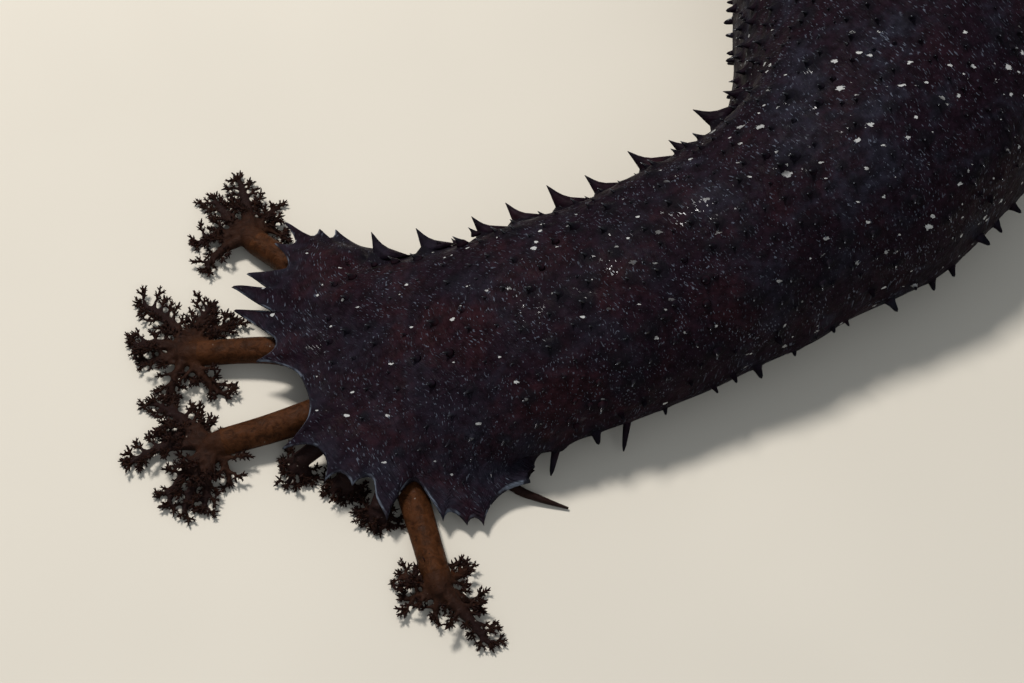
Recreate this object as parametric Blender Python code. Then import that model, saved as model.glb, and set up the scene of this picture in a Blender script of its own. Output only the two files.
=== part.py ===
"""A black sea cucumber feeding on the sea bed, life size, as one still model.

The body lies in a slow bend with a flat sole on the floor. Its front end flares into a thin
hood with a saw-toothed rim, and twenty tentacles stand in a ring round the mouth beneath it:
four reach out from under the rim and the rest are drawn in. Lengths are in millimetres until
the meshes are made, x to the right, y away from the viewer, z up, with the floor at z = 0.
"""

import math
import random

import bmesh
import bpy
import numpy as np

MM = 0.001
GAP = 0.3
SEED = 7

# The animal's length runs along this path, from the neck behind the hood to the vent.
# Each row holds x, y, half the body's width and the height of its back there.
PATH = (
    (1.3, 1.0, 21.1, 25.0),
    (24.0, 9.4, 20.1, 30.0),
    (44.7, 21.7, 20.7, 35.0),
    (59.0, 34.2, 25.6, 39.0),
    (69.2, 53.0, 30.1, 41.0),
    (73.0, 77.0, 31.8, 42.0),
    (74.5, 103.0, 32.0, 41.0),
    (72.0, 131.0, 30.5, 39.5),
    (73.0, 158.0, 28.0, 36.5),
    (83.0, 181.0, 24.5, 32.5),
    (100.0, 197.0, 20.0, 27.5),
    (119.0, 207.0, 15.5, 22.5),
)
SOLE_HEIGHT = 1.2
WIDEST_AT = 0.40
BACK_ROUNDNESS = 0.95
SOLE_ROUNDNESS = 0.5
# The origin stands on the floor under the middle of the animal's box.
ORIGIN = (26.2, 80.8)

# Where one length of the body ends and the next begins, along the path.
LENGTH_NAMES = ("neck", "trunk_front", "trunk_middle", "trunk_rear")
LENGTH_ENDS = (0.0, 48.0, 102.0, 156.0, 210.0)
RINGS_APART = 9.0
BODY_SIDES = 26
TAIL_ROUNDING = 26.0
VENT_RADIUS = 2.6
VENT_DEPTH = 4.0

# The hood has its own frame: forward, sideways towards the viewer, and up.
HEAD_CENTRE = (-19.0, -4.0)
HEAD_FORWARD = (-0.930, -0.367)
# The rim's saw edge as forward, sideways and up, from the near corner round to the far one,
# with the tips of its papillae standing out between scalloped bays.
RIM = (
    (-13.0, 27.2, 5.0), (-8.9, 26.9, 4.6), (-5.6, 28.2, 3.8), (-3.2, 31.1, 2.2),
    (-2.2, 29.2, 3.2), (-0.6, 30.2, 2.6), (1.2, 27.2, 4.2), (3.0, 28.4, 3.4),
    (3.7, 24.7, 5.6), (5.5, 20.8, 7.2), (9.3, 23.0, 5.8), (11.7, 25.4, 4.4),
    (12.1, 21.6, 6.2), (11.8, 18.3, 7.6), (15.2, 18.4, 6.8), (16.2, 15.8, 8.0),
    (19.2, 15.8, 6.4), (17.7, 13.0, 8.4), (18.8, 9.3, 8.2), (23.6, 7.2, 6.4),
    (18.5, 5.0, 9.0), (16.7, 1.6, 9.4), (16.4, -1.5, 9.4), (16.6, -4.6, 9.2),
    (18.1, -7.3, 8.6), (22.2, -11.2, 6.5), (18.1, -12.2, 8.6), (19.2, -16.3, 8.2),
    (22.5, -23.3, 5.6), (16.0, -19.0, 8.8), (21.2, -28.0, 6.2), (15.0, -23.1, 8.8),
    (18.0, -29.1, 7.0), (11.4, -26.4, 9.2), (11.6, -32.3, 8.8), (8.0, -31.0, 9.0),
    (8.5, -36.2, 8.6), (3.4, -32.2, 8.6), (1.0, -34.0, 8.2), (-1.0, -30.6, 7.8),
    (-6.0, -28.6, 6.0),
)
# The lip under the mouth, on the same terms, from the far corner back to the near one.
LIP = (
    (-6.5, -25.0), (-4.5, -21.0), (-4.2, -17.0), (-2.6, -13.0), (-3.2, -9.0), (-1.6, -4.5),
    (-2.6, 0.0), (-1.6, 4.5), (-3.2, 9.0), (-2.8, 13.0), (-5.2, 17.0), (-6.2, 21.0),
    (-9.8, 24.2),
)
LIP_HEIGHT = 1.6
RIM_THICKNESS = 1.7
TIP_THICKNESS = 0.7
# The smooth oval inside the saw edge, where the flare ends and the flat rim begins.
FLARE_BACK = 8.0
FLARE_FORWARD = 20.5
FLARE_HALF_WIDTH = 26.0
FLARE_SLOPE = 0.22
HOOD_RINGS = 6
MOUTH_CENTRE = (-7.0, 0.0, 9.0)
MOUTH_TILT = math.radians(20.0)
MOUTH_HALF_WIDTH = 14.6
MOUTH_HALF_HEIGHT = 6.2
MOUTH_THICKNESS = 2.4
ROOT_CLEAR = 0.7

# Conical papillae over the back and flanks.
PAPILLA_SPACING = 11.0
PAPILLA_RADIUS = 1.9
PAPILLA_HEIGHT = 3.0
SHOULDER_ANGLE = 156.0
SHOULDER_SPACING = 8.4
SHOULDER_SIZE = 1.25
PAPILLA_SIDES = 4
PAPILLA_SUNK = 1.1
MARGIN_SPACING = 12.0
MARGIN_RADIUS = 2.0
MARGIN_HEIGHT = 3.9
FORWARD_LEAN = 0.55

# Tube feet under the sole, whose flat ends all stand on the floor.
FOOT_RADIUS = 1.0
FOOT_SIDES = 5
FOOT_SUNK = 1.2
FOOT_SPACING = 16.0
FOOT_ROWS = (-0.62, 0.0, 0.62)
# One tube foot is stretched out over the sand beside the hood's near corner.
SIDE_FOOT = ((4.6, -15.5, 4.2), (3.2, -21.5, 3.8), (4.6, -25.2, 2.4), (9.3, -27.3, 0.9))
SIDE_FOOT_RADII = (1.3, 1.2, 0.9, 0.4)

# The tentacles that reach out: the angle of the base in the mouth's ring, the points that the
# stalk passes after it, the stalk's radius, and each branch of the crown as the direction in
# degrees that it leaves in, seen from above, the one that it ends in, and its length.
RING_HALF_WIDTH = 11.0
RING_HALF_HEIGHT = 3.2
TENTACLES = {
    "tentacle_far": dict(
        base=180.0,
        stalk=((-30.5, 10.0, 3.8), (-39.0, 21.0, 2.9), (-45.0, 26.0, 3.1)),
        radius=2.2,
        crown=((56, 350, 11.0), (74, 60, 14.0), (92, 104, 18.0), (126, 112, 14.0),
               (156, 186, 10.5), (214, 256, 10.0)),
    ),
    "tentacle_left": dict(
        base=135.0,
        stalk=((-31.0, -0.4, 5.2), (-42.0, 2.4, 4.0), (-53.5, 2.2, 3.3)),
        radius=2.1,
        crown=((72, 36, 12.0), (105, 52, 11.5), (112, 164, 16.0), (152, 196, 9.5),
               (186, 168, 9.0), (240, 252, 8.0), (294, 340, 10.5)),
    ),
    "tentacle_front": dict(
        base=92.0,
        stalk=((-27.0, -8.4, 6.0), (-37.0, -12.6, 4.6), (-48.0, -16.0, 3.4)),
        radius=2.3,
        crown=((92, 112, 7.0), (128, 152, 14.0), (178, 206, 13.5), (226, 252, 15.5),
               (254, 266, 16.0), (284, 266, 13.5), (318, 300, 9.5)),
    ),
    "tentacle_near": dict(
        base=30.0,
        stalk=((-18.6, -19.0, 3.8), (-16.2, -27.3, 2.6), (-12.4, -41.0, 2.6)),
        radius=2.3,
        crown=((36, 64, 8.5), (344, 324, 11.0), (310, 320, 15.0), (264, 250, 7.5),
               (204, 160, 9.5), (168, 136, 9.0)),
    ),
}
STALK_SIDES = 8
BRANCH_SIDES = 5
BRANCH_RADIUS = 1.1
BRANCH_TIP_RADIUS = 0.35
BRANCH_STEPS = 3
TWIG_SIDES = 3
TWIG_RADIUS = 0.5
TWIG_TIP = 0.28
TWIG_LENGTH = 3.4
TWIGS_PER_BRANCH = 3
CROWN_CLEAR = 0.35
DRAWN_IN_SLOTS = 20
DRAWN_IN_RADIUS = 0.85
DRAWN_IN_LENGTH = 4.6

COLLECTION = "sea_cucumber"
SKIN = ("skin", (0.026, 0.017, 0.024), 0.55)
MOUTH_SKIN = ("mouth", (0.02, 0.011, 0.012), 0.5)
STALK_SKIN = ("stalk", (0.16, 0.065, 0.028), 0.45)
CROWN_SKIN = ("crown", (0.045, 0.018, 0.012), 0.5)


def clear_scene():
    for obj in list(bpy.data.objects):
        bpy.data.objects.remove(obj)
    parts = bpy.data.collections.new(COLLECTION)
    bpy.context.scene.collection.children.link(parts)


def material(finish):
    name, colour, roughness = finish
    made = bpy.data.materials.get(name) or bpy.data.materials.new(name)
    made.use_nodes = True
    shader = made.node_tree.nodes["Principled BSDF"]
    shader.inputs["Base Color"].default_value = (*colour, 1.0)
    shader.inputs["Roughness"].default_value = roughness
    shader.inputs["Metallic"].default_value = 0.0
    return made


def unit(vector):
    vector = np.asarray(vector, float)
    return vector / np.linalg.norm(vector)


def turns(sides):
    return [2 * math.pi * k / sides for k in range(sides)]


def spline(rows, at):
    """A smooth curve through the rows, at a place counted in rows."""
    rows = np.asarray(rows, float)
    first = int(np.clip(math.floor(at), 0, len(rows) - 2))
    t = at - first
    before = rows[first - 1] if first else 2 * rows[0] - rows[1]
    after = rows[first + 2] if first + 2 < len(rows) else 2 * rows[-1] - rows[-2]
    here, there = rows[first], rows[first + 1]
    leaving, arriving = (there - before) / 2, (after - here) / 2
    return (
        (2 * t**3 - 3 * t**2 + 1) * here
        + (t**3 - 2 * t**2 + t) * leaving
        + (3 * t**2 - 2 * t**3) * there
        + (t**3 - t**2) * arriving
    )


SAMPLED_AT = np.linspace(0, len(PATH) - 1, 40 * (len(PATH) - 1) + 1)
SAMPLED = np.array([spline(PATH, at) for at in SAMPLED_AT])
STEPS = np.linalg.norm(np.diff(SAMPLED[:, :2], axis=0), axis=1)
ALONG = np.concatenate([[0.0], np.cumsum(STEPS)])
BODY_LENGTH = float(ALONG[-1])


def body_at(along):
    """The path's point, its direction towards the tail, half the width and the height there."""
    inside = min(max(along, 0.0), BODY_LENGTH)
    x, y, half_width, height = (np.interp(inside, ALONG, SAMPLED[:, k]) for k in range(4))
    step = 0.5
    low, high = max(inside - step, 0.0), min(inside + step, BODY_LENGTH)
    ends = [[np.interp(s, ALONG, SAMPLED[:, k]) for k in range(2)] for s in (low, high)]
    tailwards = unit(np.subtract(ends[1], ends[0]))
    centre = np.array([x, y]) + tailwards * (along - inside)
    return centre, tailwards, half_width, height


def signed_power(value, power):
    return math.copysign(abs(value) ** power, value)


def skin_point(along, angle, grown=0.0):
    """A point of the body's skin. Angle 0 faces the viewer's side, and a quarter turn is the back."""
    centre, tailwards, half_width, height = body_at(along)
    shrunk = 1.0
    past = along - (BODY_LENGTH - TAIL_ROUNDING)
    if past > 0:
        shrunk = math.sqrt(max(1.0 - (past / TAIL_ROUNDING) ** 2, 0.0))
    widest = height * WIDEST_AT
    sideways = (half_width * shrunk + grown) * signed_power(math.cos(angle), 0.92)
    rise = math.sin(angle)
    if rise >= 0:
        up = widest + ((height - widest) * shrunk + grown) * rise**BACK_ROUNDNESS
    else:
        up = widest - ((widest - SOLE_HEIGHT) * shrunk + grown) * abs(rise) ** SOLE_ROUNDNESS
    side = np.array([tailwards[1], -tailwards[0]])
    x, y = centre + side * sideways
    return np.array([x, y, up])


def skin_normal(along, angle):
    step = 0.02
    across = skin_point(along, angle + step) - skin_point(along, angle - step)
    lengthwise = skin_point(along + 0.5, angle) - skin_point(along - 0.5, angle)
    return unit(np.cross(lengthwise, across))


def head_to_world(point):
    """From the hood's frame of forward, sideways and up to the floor's frame."""
    forward = np.array(HEAD_FORWARD)
    side = np.array([-forward[1], forward[0]])
    x, y = np.array(HEAD_CENTRE) + forward * point[0] + side * point[1]
    return np.array([x, y, point[2]])


def hermite(start, leaving, end, arriving, t):
    return (
        (2 * t**3 - 3 * t**2 + 1) * start
        + (t**3 - 2 * t**2 + t) * leaving
        + (3 * t**2 - 2 * t**3) * end
        + (t**3 - t**2) * arriving
    )


def flare_point(angle):
    """The smooth oval that the hood's roof widens to, in the hood's frame."""
    across, rise = math.cos(angle), math.sin(angle)
    return np.array([-FLARE_BACK + FLARE_FORWARD * rise, FLARE_HALF_WIDTH * across])


def rim_columns():
    """For each point of the rim and lip: its angle round the neck, its flare and its edge."""
    columns = []
    last = -20.0
    for forward, side, up in RIM:
        angle = math.degrees(math.atan2((forward + FLARE_BACK) * 1.25, side))
        last = max(angle, last + 1.0)
        flare = flare_point(math.radians(last))
        reach = math.hypot(forward - flare[0], side - flare[1])
        edge = np.array([forward, side, up])
        columns.append((math.radians(last), np.array([*flare, up + FLARE_SLOPE * reach]), edge, reach))
    heights = [column[1][2] for column in columns]
    smooth = np.convolve([heights[0]] * 3 + heights + [heights[-1]] * 3, [1 / 7] * 7, "valid")
    for column, height in zip(columns, smooth):
        column[1][2] = height
    span = 360.0 - 20.0 - last
    for k, (forward, side) in enumerate(LIP):
        angle = math.radians(last + span * (k + 1) / (len(LIP) + 1))
        base = np.array([forward - 3.0, side * 0.96, SOLE_HEIGHT + 0.1])
        columns.append((angle, base, np.array([forward, side, LIP_HEIGHT]), 3.0))
    return columns


def flare_outwards(angle):
    """The way that the roof runs outwards and down where it reaches the flare."""
    ahead = math.sin(angle) / FLARE_FORWARD
    aside = math.cos(angle) / FLARE_HALF_WIDTH
    plan = unit((ahead, aside))
    return unit((plan[0], plan[1], -FLARE_SLOPE))


def hood_point(column, t):
    """A point of the hood's outer skin, from the neck at t = 0 to the flare at t = 1."""
    angle, flare, _, _ = column
    start = skin_point(-GAP, angle)
    leaving = unit(start - skin_point(2.0, angle)) * 14.0
    end = head_to_world(flare)
    if flare[2] > 3.0:
        arriving = (head_to_world(flare + flare_outwards(angle)) - end) * 13.0
    else:
        arriving = (head_to_world(flare + np.array([1.0, 0.0, 0.0])) - end) * 6.0
    point = hermite(start, leaving, end, arriving, t)
    point[2] = max(point[2], SOLE_HEIGHT)
    return point


def mouth_point(angle, half_width, half_height, ahead):
    """A point on the plane of the mouth, ahead of it by so much, in the floor's frame."""
    tilt_in, tilt_up = math.sin(MOUTH_TILT), math.cos(MOUTH_TILT)
    forward, side, up = MOUTH_CENTRE
    rise = half_height * math.sin(angle)
    return head_to_world(
        (
            forward + rise * tilt_in + ahead * tilt_up,
            side + half_width * math.cos(angle),
            up + rise * tilt_up - ahead * tilt_in,
        )
    )


def rim_edge(column, share, inner):
    """A point between the flare and the saw edge, on the outer or the inner face."""
    _, flare, edge, reach = column
    thin = min(share * reach / 6.0, 1.0)
    thickness = RIM_THICKNESS + (TIP_THICKNESS - RIM_THICKNESS) * thin
    point = flare + (edge - flare) * share
    if inner:
        lip = flare[2] < 3.0
        point = point + np.array([0.0, 0.0, thickness if lip else -thickness])
        point[2] = max(point[2], SOLE_HEIGHT + 0.3)
    return head_to_world(point)


def inner_point(column, t):
    """A point of the hood's inner wall, from the flare at t = 0 to the mouth's edge at t = 1."""
    start = rim_edge(column, 0.0, True)
    end = mouth_point(column[0], MOUTH_HALF_WIDTH, MOUTH_HALF_HEIGHT, 0.0)
    arch = math.sin(math.pi * t) * 1.5 * max(math.sin(column[0]), 0.0)
    return start * (1 - t) + end * t + np.array([0.0, 0.0, arch])


def mesh_object(name, points, faces, finish):
    mesh = bpy.data.meshes.new(name)
    shifted = np.asarray(points, float) - np.array([*ORIGIN, 0.0])
    mesh.from_pydata([tuple(p * MM) for p in shifted], [], faces)
    mesh.materials.append(material(finish))
    obj = bpy.data.objects.new(name, mesh)
    bpy.data.collections[COLLECTION].objects.link(obj)
    shape = bmesh.new()
    shape.from_mesh(mesh)
    bmesh.ops.triangulate(shape, faces=[f for f in shape.faces if len(f.verts) > 4])
    bmesh.ops.recalc_face_normals(shape, faces=shape.faces)
    shape.to_mesh(mesh)
    shape.free()
    return obj


def loft(name, rings, finish):
    """One closed solid through rings of equal count, flat at both ends."""
    sides = len(rings[0])
    points = [p for ring in rings for p in ring]
    faces = []
    for i in range(len(rings) - 1):
        for j in range(sides):
            k = (j + 1) % sides
            faces.append((i * sides + j, i * sides + k, (i + 1) * sides + k, (i + 1) * sides + j))
    faces.append(tuple(range(sides)))
    last = (len(rings) - 1) * sides
    faces.append(tuple(last + j for j in range(sides)))
    return mesh_object(name, points, faces, finish)


def tube(name, line, radii, sides, finish, turn=0.0):
    """A tapering tube along a line of points, flat at both ends."""
    line = [np.asarray(p, float) for p in line]
    rings = []
    upright = np.array([0.0, 0.0, 1.0])
    for i, point in enumerate(line):
        heading = unit(line[min(i + 1, len(line) - 1)] - line[max(i - 1, 0)])
        across = np.cross(heading, upright)
        if np.linalg.norm(across) < 0.1:
            across = np.cross(heading, (0.0, 1.0, 0.0))
        across = unit(across)
        over = np.cross(across, heading)
        rings.append([point + radii[i] * (math.cos(turn + a) * across + math.sin(turn + a) * over)
                      for a in turns(sides)])
    return loft(name, rings, finish)


def cone(name, root, axis, radius, height, sunk, sides, turn, finish, tip=0.12):
    """A pointed papilla whose root is sunk in the skin."""
    start, end = root - axis * sunk, root + axis * height
    return tube(name, [start, end], [radius, radius * tip], sides, finish, turn)


def fuse(target, pieces):
    """Joins the pieces to the target as one closed surface."""
    if not pieces:
        return target
    group = bpy.data.collections.new(target.name + "_pieces")
    group.hide_render = True
    bpy.context.scene.collection.children.link(group)
    for piece in pieces:
        bpy.data.collections[COLLECTION].objects.unlink(piece)
        group.objects.link(piece)
    union = target.modifiers.new("union", "BOOLEAN")
    union.operation = "UNION"
    union.operand_type = "COLLECTION"
    union.collection = group
    union.solver = "MANIFOLD"
    graph = bpy.context.evaluated_depsgraph_get()
    joined = bpy.data.meshes.new_from_object(target.evaluated_get(graph))
    target.modifiers.clear()
    target.data = joined
    for piece in pieces:
        bpy.data.objects.remove(piece)
    bpy.data.collections.remove(group)
    keep_largest(target)
    return target


def keep_largest(obj):
    """Leaves only the closed surface with the most faces."""
    shape = bmesh.new()
    shape.from_mesh(obj.data)
    bmesh.ops.triangulate(shape, faces=shape.faces)
    unseen, islands = set(shape.verts), []
    while unseen:
        island, edge = set(), [unseen.pop()]
        while edge:
            vertex = edge.pop()
            island.add(vertex)
            near = {e.other_vert(vertex) for e in vertex.link_edges} & unseen
            unseen -= near
            edge.extend(near)
        islands.append(island)
    islands.sort(key=len)
    bmesh.ops.delete(shape, geom=[v for island in islands[:-1] for v in island], context="VERTS")
    shape.to_mesh(obj.data)
    shape.free()


def papilla(along, angle, radius, height, chance):
    """A papilla of the body's skin, leaning a little towards the head."""
    root = skin_point(along, angle)
    outwards = skin_normal(along, angle)
    _, tailwards, _, _ = body_at(along)
    axis = unit(outwards - FORWARD_LEAN * np.array([*tailwards, 0.0]))
    turn = chance.uniform(0, 2 * math.pi)
    return cone("papilla", root, axis, radius, height, PAPILLA_SUNK, PAPILLA_SIDES, turn, SKIN)


def spaced(start, end, keep_off, apart):
    """Places between two cuts, about so far apart and clear of both."""
    free = end - start - 2 * keep_off
    count = max(int(free / apart + 0.5), 1)
    return [start + keep_off + free * k / count for k in range(count + 1)]


def body_papillae(start, end, chance):
    """Papillae in staggered rows over the back, with larger ones on the shoulders and margins."""
    found = []
    for row, along in enumerate(spaced(start, end, PAPILLA_RADIUS + 1.2, PAPILLA_SPACING)):
        _, _, half_width, height = body_at(along)
        arc = 1.1 * (half_width + height * 0.5)
        count = max(int(arc / PAPILLA_SPACING * 1.5), 3)
        for k in range(count):
            share = (k + 0.25 + 0.5 * (row % 2) + chance.uniform(-0.2, 0.2)) / count
            angle = math.radians(40 + 100 * share)
            size = chance.uniform(0.7, 1.05)
            radius, rise = PAPILLA_RADIUS * size, PAPILLA_HEIGHT * size
            found.append(papilla(along, angle, radius, rise, chance))
    for shoulder in (SHOULDER_ANGLE, 180.0 - SHOULDER_ANGLE):
        for along in spaced(start, end, PAPILLA_RADIUS * SHOULDER_SIZE + 1.2, SHOULDER_SPACING):
            angle = math.radians(shoulder + chance.uniform(-2, 2))
            size = SHOULDER_SIZE * chance.uniform(0.9, 1.1)
            radius, rise = PAPILLA_RADIUS * size, PAPILLA_HEIGHT * size
            found.append(papilla(along, angle, radius, rise, chance))
    return found + margin_papillae(start, end, chance)


def margin_papillae(start, end, chance):
    found = []
    for side_angle in (-4.0, 184.0):
        for along in spaced(start, end, MARGIN_RADIUS + 1.2, MARGIN_SPACING):
            angle = math.radians(side_angle + chance.uniform(-5, 5))
            size = chance.uniform(0.7, 1.1)
            found.append(papilla(along, angle, MARGIN_RADIUS * size, MARGIN_HEIGHT * size, chance))
    return found


def tube_foot(x, y):
    """A short foot with a flat end on the floor."""
    top = SOLE_HEIGHT + FOOT_SUNK
    line = [(x, y, top), (x, y, 0.0)]
    return tube("foot", line, [FOOT_RADIUS, FOOT_RADIUS * 1.15], FOOT_SIDES, SKIN)


def tube_feet(start, end):
    found = []
    for along in spaced(start, end, FOOT_RADIUS + 1.0, FOOT_SPACING):
        centre, tailwards, half_width, _ = body_at(along)
        side = np.array([tailwards[1], -tailwards[0]])
        for row in FOOT_ROWS:
            x, y = centre + side * row * half_width * 0.9
            found.append(tube_foot(x, y))
    return found


def trunk_length(name, start, end, chance):
    """One length of the trunk between two flat cuts."""
    count = max(round((end - start) / RINGS_APART), 2)
    places = [start + (end - GAP - start) * k / count for k in range(count + 1)]
    rings = [[skin_point(s, a) for a in turns(BODY_SIDES)] for s in places]
    body = loft(name, rings, SKIN)
    return fuse(body, body_papillae(start, end - GAP, chance) + tube_feet(start, end - GAP))


def tail(start, chance):
    """The rounded hind end, with the vent sunk in its middle."""
    straight = BODY_LENGTH - TAIL_ROUNDING
    places = [start, (start + straight) / 2]
    places += [straight + TAIL_ROUNDING * math.sin(math.radians(a)) for a in (0, 20, 38, 54, 67, 76)]
    rings = [[skin_point(s, a) for a in turns(BODY_SIDES)] for s in places]
    centre, tailwards, _, height = body_at(BODY_LENGTH)
    side = np.array([tailwards[1], -tailwards[0]])
    middle = np.array([*centre, height * WIDEST_AT])
    vent = ((VENT_RADIUS * 1.7, 0.2), (VENT_RADIUS, -0.4), (VENT_RADIUS * 0.8, -VENT_DEPTH))
    for radius, back in vent:
        ring = []
        for a in turns(BODY_SIDES):
            x, y = middle[:2] + side * radius * math.cos(a) + tailwards * back
            ring.append(np.array([x, y, middle[2] + radius * math.sin(a)]))
        rings.append(ring)
    body = loft("tail", rings, SKIN)
    end = BODY_LENGTH - TAIL_ROUNDING * 0.45
    feet = tube_feet(start, BODY_LENGTH - TAIL_ROUNDING)
    return fuse(body, body_papillae(start, end, chance) + feet)


def hood_papillae(columns, chance):
    """Papillae over the hood's back, smaller towards its rim."""
    found = []
    upper = [c for c in columns if 0.25 < c[0] < math.pi - 0.25]
    for t, count in ((0.24, 5), (0.44, 6), (0.64, 7), (0.84, 8)):
        for k in range(count):
            place = (k + 0.5 + chance.uniform(-0.22, 0.22)) / count * (len(upper) - 1)
            first, second = upper[int(place)], upper[min(int(place) + 1, len(upper) - 1)]
            root = hood_point(first, t)
            ahead = unit(hood_point(first, t + 0.04) - root)
            across = hood_point(second, t) - root
            outwards = unit(np.cross(across, ahead))
            if outwards[2] < 0:
                outwards = -outwards
            size = chance.uniform(0.6, 0.9)
            axis = unit(outwards + FORWARD_LEAN * ahead)
            turn = chance.uniform(0, 2 * math.pi)
            radius, rise = PAPILLA_RADIUS * size, PAPILLA_HEIGHT * size
            found.append(cone("papilla", root, axis, radius, rise, 0.8, PAPILLA_SIDES, turn, SKIN))
    return found


def hood(chance):
    """The flared front end: the outer skin, the saw-toothed rim and the hollow under it."""
    columns = rim_columns()
    rings = [[hood_point(c, k / HOOD_RINGS) for c in columns] for k in range(HOOD_RINGS + 1)]
    rings.append([rim_edge(c, 0.55, False) for c in columns])
    rings.append([rim_edge(c, 1.0, False) for c in columns])
    rings.append([rim_edge(c, 1.0, True) for c in columns])
    rings.append([rim_edge(c, 0.55, True) for c in columns])
    rings += [[inner_point(c, t) for c in columns] for t in (0.0, 0.35, 0.7, 1.0)]
    body = loft("hood", rings, SKIN)
    feet = []
    for forward, side in ((-16.0, -12.0), (-16.0, 0.0), (-16.0, 12.0), (-9.0, -6.0), (-9.0, 6.0)):
        x, y, _ = head_to_world((forward, side, 0.0))
        feet.append(tube_foot(x, y))
    feet.append(tube("foot", SIDE_FOOT, SIDE_FOOT_RADII, FOOT_SIDES, SKIN))
    return fuse(body, hood_papillae(columns, chance) + feet)


def stalk_line(tentacle):
    """The stalk's centre line, from the mouth's ring out to the root of its crown."""
    angle = math.radians(tentacle["base"])
    ahead = MOUTH_THICKNESS + GAP + ROOT_CLEAR
    root = mouth_point(angle, RING_HALF_WIDTH, RING_HALF_HEIGHT, ahead)
    onward = mouth_point(angle, RING_HALF_WIDTH, RING_HALF_HEIGHT, ahead + 3.0)
    rows = [root, onward, *tentacle["stalk"]]
    return [spline(rows, at) for at in np.linspace(0, len(rows) - 1, 4 * (len(rows) - 1) + 1)]


def crown_branch(root, leaves, ends, length, radius, chance):
    """One branch of a crown, turning as it bends down to the floor, with its twigs."""
    least = BRANCH_TIP_RADIUS + CROWN_CLEAR
    line = [root]
    for k in range(BRANCH_STEPS):
        direction = math.radians(leaves + (ends - leaves) * (k + 0.5) / BRANCH_STEPS)
        step = np.array([math.cos(direction), math.sin(direction), 0.0]) * length / BRANCH_STEPS
        point = line[-1] + step
        t = (k + 1) / BRANCH_STEPS
        point[2] = max(root[2] * (1 - t * t), least + 0.5 * (1 - t))
        line.append(point)
    radii = [radius + (BRANCH_TIP_RADIUS - radius) * k / BRANCH_STEPS
             for k in range(BRANCH_STEPS + 1)]
    pieces = [tube("branch", line, radii, BRANCH_SIDES, CROWN_SKIN)]
    for k in range(TWIGS_PER_BRANCH):
        t = 0.3 + 0.62 * (k + 0.5) / TWIGS_PER_BRANCH
        at = spline(line, t * BRANCH_STEPS)
        along = unit(spline(line, t * BRANCH_STEPS + 0.1) - at)
        side = np.cross((0.0, 0.0, 1.0), along) * (1 if k % 2 else -1)
        reach = TWIG_LENGTH * (1.2 - 0.5 * t) * chance.uniform(0.8, 1.2)
        tip = at + unit(along * 0.7 + side * 0.8) * reach
        tip[2] = max(at[2] + chance.uniform(-0.4, 0.8), least)
        pieces.append(tube("twig", [at, tip], [TWIG_RADIUS, TWIG_TIP], TWIG_SIDES, CROWN_SKIN))
    return pieces


def tentacle(name, spec, chance):
    """A tentacle in two nodes: its smooth stalk and the branched crown at its end."""
    line = stalk_line(spec)
    radius = spec["radius"]
    share = np.linspace(0, 1, len(line))
    radii = [radius * (0.62 + 0.38 * min(s / 0.4, 1.0) - 0.07 * s) for s in share]
    tube(name + "_stalk", line, radii, STALK_SIDES, STALK_SKIN)
    heading = unit(line[-1] - line[-2])
    root = line[-1] + heading * GAP
    knob_line = [root, root + heading * radius * 1.6, root + heading * radius * 2.4]
    knob_radii = [radii[-1], radii[-1] * 0.95, radii[-1] * 0.5]
    knob = tube(name + "_crown", knob_line, knob_radii, STALK_SIDES, CROWN_SKIN)
    middle = root + heading * radius * 1.6
    pieces = []
    for leaves, ends, length in spec["crown"]:
        size = BRANCH_RADIUS * chance.uniform(0.85, 1.15) * (1.15 if length > 12 else 1.0)
        pieces += crown_branch(middle.copy(), leaves, ends, length, size, chance)
    return fuse(knob, pieces)


def mouth(chance):
    """The disc round the mouth, with the tentacles that are drawn in."""
    angles = turns(32)
    sizes = ((MOUTH_HALF_WIDTH - 1.0, MOUTH_HALF_HEIGHT - 1.0, GAP),
             (MOUTH_HALF_WIDTH - 1.4, MOUTH_HALF_HEIGHT - 1.4, GAP + MOUTH_THICKNESS),
             (3.4, 1.7, GAP + MOUTH_THICKNESS),
             (1.8, 0.9, GAP + MOUTH_THICKNESS - 1.2))
    rings = [[mouth_point(a, w, h, ahead) for a in angles] for w, h, ahead in sizes]
    disc = loft("mouth", rings, MOUTH_SKIN)
    stalks = [(stalk_line(spec), spec["radius"]) for spec in TENTACLES.values()]
    pieces = []
    for slot in range(DRAWN_IN_SLOTS):
        angle = 2 * math.pi * slot / DRAWN_IN_SLOTS
        length = DRAWN_IN_LENGTH * chance.uniform(0.75, 1.1)
        start = mouth_point(angle, RING_HALF_WIDTH, RING_HALF_HEIGHT, MOUTH_THICKNESS - 0.8)
        end = mouth_point(angle, RING_HALF_WIDTH - 1.0, RING_HALF_HEIGHT - 0.8,
                          MOUTH_THICKNESS + length)
        along = [start + (end - start) * t for t in np.linspace(0, 1, 6)]
        room = min(np.linalg.norm(p - q) - radius for line, radius in stalks for p in along
                   for q in line)
        if room > DRAWN_IN_RADIUS + 2 * GAP:
            radii = [DRAWN_IN_RADIUS, DRAWN_IN_RADIUS * 0.8]
            pieces.append(tube("bud", [start, end], radii, 5, MOUTH_SKIN))
    return fuse(disc, pieces)


def build():
    clear_scene()
    chance = random.Random(SEED)
    hood(chance)
    mouth(chance)
    for name, start, end in zip(LENGTH_NAMES, LENGTH_ENDS, LENGTH_ENDS[1:]):
        trunk_length(name, start, end, chance)
    tail(LENGTH_ENDS[-1], chance)
    for name, spec in TENTACLES.items():
        tentacle(name, spec, chance)


build()
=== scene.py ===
"""The looks of a black sea cucumber, life size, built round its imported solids."""

import math
import random

import bmesh
import bpy
import numpy as np
from mathutils import Matrix, Vector, kdtree


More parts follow.
